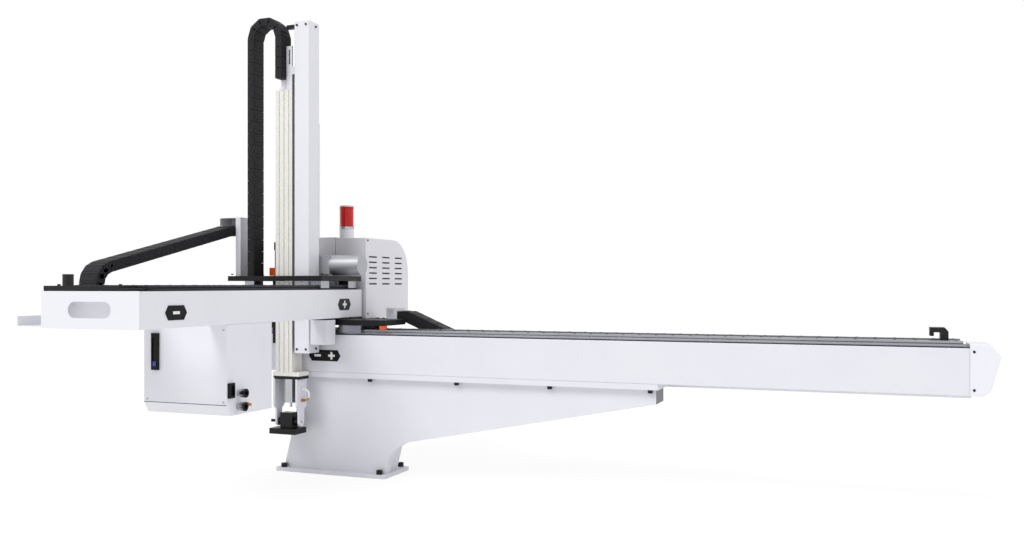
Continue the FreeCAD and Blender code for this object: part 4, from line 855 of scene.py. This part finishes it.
class ROBOT_OT_rail_trim(bpy.types.Operator):
    """Fit the rails' screw caps and the blocks' end seals"""

    bl_idname = "robot.rail_trim"
    bl_label = "Rail screws and seals"

    def execute(self, context):
        pitch = context.scene.robot_trim.rail_screw_pitch
        cap = [(-0.4, 0), (-0.4, 5.2), (0.35, 5.2), (0.5, 4.8), (0.5, 4.2), (0.1, 4.0), (0.1, 0)]
        groups = (
            ("traverse_rail_screws", "base",
             [(x, y, 583) for y in TRAVERSE_RAILS for x in self.line(-360, 2280, pitch)]),
            ("frame_rail_screws", "traverse_carriage",
             [(x, y, 759) for x in (-291, 17) for y in self.line(-1100, 50, pitch)]),
        )
        for name, body, points in groups:
            piece = mesh_from("cap", lambda work: add_turned(work, cap, (0, 0, 0), "z", 16))
            places = [(point, TURNS["+z"]) for point in points]
            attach(repeated(name, piece, places, "oiled_dark_steel"), body)
        seal = mesh_from("seal", lambda work: add_block(work, (-2.5, -20, -9), (2.5, 20, 9), 1.0))
        places = [((x, y, 588), (0, 0, 0)) for x in (-391, -288, 45, 148) for y in TRAVERSE_RAILS]
        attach(repeated("traverse_block_seals", seal, places, "moulded_nylon_black"), "traverse_carriage")
        return {"FINISHED"}

    def line(self, start, end, pitch):
        """Places from start to end at that pitch."""
        count = int((end - start) // pitch) + 1
        return [start + pitch * index for index in range(count)]


class ROBOT_OT_arm_trim(bpy.types.Operator):
    """Fit the arm tube's ribs"""

    bl_idname = "robot.arm_trim"
    bl_label = "Arm tube ribs"

    def execute(self, context):
        pitch = context.scene.robot_trim.tube_rib_pitch
        rib = mesh_from("rib", lambda work: add_block(work, (-1.8, -0.7, 416), (1.8, 0.4, 1530), 0.3))
        first_rib, tube_face = -187, -193
        places = [((first_rib + pitch * index, tube_face, 0), (0, 0, 0)) for index in range(7)]
        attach(repeated("arm_tube_ribs", rib, places, "anodised_ivory_aluminium"), "arm")
        return {"FINISHED"}


class ROBOT_OT_lamp(bpy.types.Operator):
    """Add the signal light's rings, collar and cap"""

    bl_idname = "robot.lamp"
    bl_label = "Signal light"

    def execute(self, context):
        pitch = context.scene.robot_trim.lens_rib_pitch
        first_ring, inner, outer, height = 1009, 29.6, 30.7, 3.0
        ring = mesh_from("ring", lambda work: self.add_ring(work, inner, outer, height))
        places = [((*LAMP_CENTRE, first_ring + pitch * index), (0, 0, 0)) for index in range(9)]
        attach(repeated("signal_light_rings", ring, places, "red_polycarbonate"), "traverse_carriage")
        self.turned("signal_light_collar", "nickel_plate", [
            (995, 0), (995, 31.2), (1001, 31.8), (1004, 31.8), (1005, 30.0), (1005, 0)])
        self.turned("signal_light_cap", "gloss_white_plastic", [
            (1088, 0), (1088, 30.6), (1091, 30.6), (1093.5, 28), (1094.5, 20), (1095, 0)])
        return {"FINISHED"}

    def turned(self, name, finish, profile):
        """A turned piece on the lamp's axis. profile is (level, radius) in mm."""
        piece = mesh_from(name, lambda work: add_turned(work, profile, (*LAMP_CENTRE, 0), "z", LAMP_STEPS))
        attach(paint(piece, finish), "traverse_carriage")

    def add_ring(self, work, inner, outer, height):
        """A flat ring with a rounded outer face."""
        loops = []
        section = ((inner, -height / 2), (outer, -height / 4), (outer, height / 4), (inner, height / 2))
        for radius, level in section:
            loop = []
            for index in range(LAMP_STEPS):
                angle = 2 * math.pi * index / LAMP_STEPS
                loop.append(work.verts.new([metres(c) for c in (
                    radius * math.cos(angle), radius * math.sin(angle), level)]))
            loops.append(loop)
        for first, second in zip(loops, loops[1:] + loops[:1]):
            for index in range(LAMP_STEPS):
                after = (index + 1) % LAMP_STEPS
                work.faces.new([first[index], first[after], second[after], second[index]])


class ROBOT_OT_motor_trim(bpy.types.Operator):
    """Add the crosswise motor's fins and the plugs"""

    bl_idname = "robot.motor_trim"
    bl_label = "Motor details"

    def execute(self, context):
        fin = mesh_from("fin", lambda work: add_block(work, (-1.2, -43, -1.2), (0.9, 43, 1.2), 0.4))
        places = [((-169, -74, 850 + 8 * index), (0, 0, 0)) for index in range(8)]
        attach(repeated("crosswise_motor_fins", fin, places, "satin_black_enamel"), "arm_carriage")
        block("motor_plug", "arm_carriage", (-250, -151, 797), (-222, -131, 829), 2.0,
              "moulded_nylon_orange")
        block("motor_plug_shell", "arm_carriage", (-212, -150, 801), (-184, -131, 826), 2.0,
              "nickel_plate")
        block("carriage_plug", "traverse_carriage", (227, -103, 584), (253, -86, 600), 1.5,
              "moulded_nylon_orange")
        return {"FINISHED"}


class ROBOT_OT_panel_trim(bpy.types.Operator):
    """Add the covers' screws, the valve box's seam and the gauge's float"""

    bl_idname = "robot.panel_trim"
    bl_label = "Cover screws and seams"

    def execute(self, context):
        screws("cabinet_screws", "traverse_carriage", 4.0, 2.0, "black_oxide_steel", "+x",
               [(65, 92, 640), (65, 435, 640), (65, 92, 945)])
        screws("valve_box_screws", "traverse_carriage", 3.5, 1.8, "nickel_plate", "-y",
               [(x, VALVE_BOX_FRONT, z) for x in (-276, 38) for z in (372, 610)])
        screws("end_cover_screws", "base", 4.0, 2.0, "black_oxide_steel", "-y",
               [(2330, -104, 430), (2330, -104, 550)])
        screws("carriage_screws", "traverse_carriage", 5.5, 4.0, "black_oxide_steel", "+z",
               [(x, -92, 628) for x in (90, 130, 215, 240)])
        screws("arm_plate_screws", "arm_carriage", 5.0, 4.0, "black_oxide_steel", "+z",
               [(x, y, 800) for x in (-374, 42) for y in (-225, -120, -20, 45)])
        block("gauge_float", "traverse_carriage", (-246, -821, 484), (-233, -817, 500), 1.5,
              "moulded_plastic_blue")
        block("valve_box_seam", "traverse_carriage", (-290, -811.6, 361), (51, -810.6, 363), 0.2,
              "oiled_dark_steel")
        return {"FINISHED"}


OPERATORS = (ROBOT_OT_stage, ROBOT_OT_finishes, ROBOT_OT_shells, ROBOT_OT_chains, ROBOT_OT_signs,
             ROBOT_OT_rail_trim, ROBOT_OT_arm_trim, ROBOT_OT_lamp, ROBOT_OT_motor_trim, ROBOT_OT_panel_trim)


class ROBOT_PT_panel(bpy.types.Panel):
    """The robot's pieces and their sizes"""

    bl_label = "Take-out robot"
    bl_space_type = "VIEW_3D"
    bl_region_type = "UI"
    bl_category = "Robot"

    def draw(self, context):
        scene = context.scene
        for settings in (scene.robot_paint, scene.robot_chain, scene.robot_trim):
            for name in settings.bl_rna.properties.keys():
                if name not in ("rna_type", "name"):
                    self.layout.prop(settings, name)
        for operator in OPERATORS:
            self.layout.operator(operator.bl_idname)


CLASSES = (RobotPaint, RobotChain, RobotTrim, *OPERATORS, ROBOT_PT_panel)


def register():
    for kind in CLASSES:
        bpy.utils.register_class(kind)
    bpy.types.Scene.robot_paint = bpy.props.PointerProperty(type=RobotPaint)
    bpy.types.Scene.robot_chain = bpy.props.PointerProperty(type=RobotChain)
    bpy.types.Scene.robot_trim = bpy.props.PointerProperty(type=RobotTrim)


def unregister():
    del bpy.types.Scene.robot_trim
    del bpy.types.Scene.robot_chain
    del bpy.types.Scene.robot_paint
    for kind in reversed(CLASSES):
        bpy.utils.unregister_class(kind)


def main():
    """Makes every piece in order."""
    register()
    for operator in OPERATORS:
        group, name = operator.bl_idname.split(".")
        getattr(getattr(bpy.ops, group), name)()


if __name__ == "__main__":
    main()
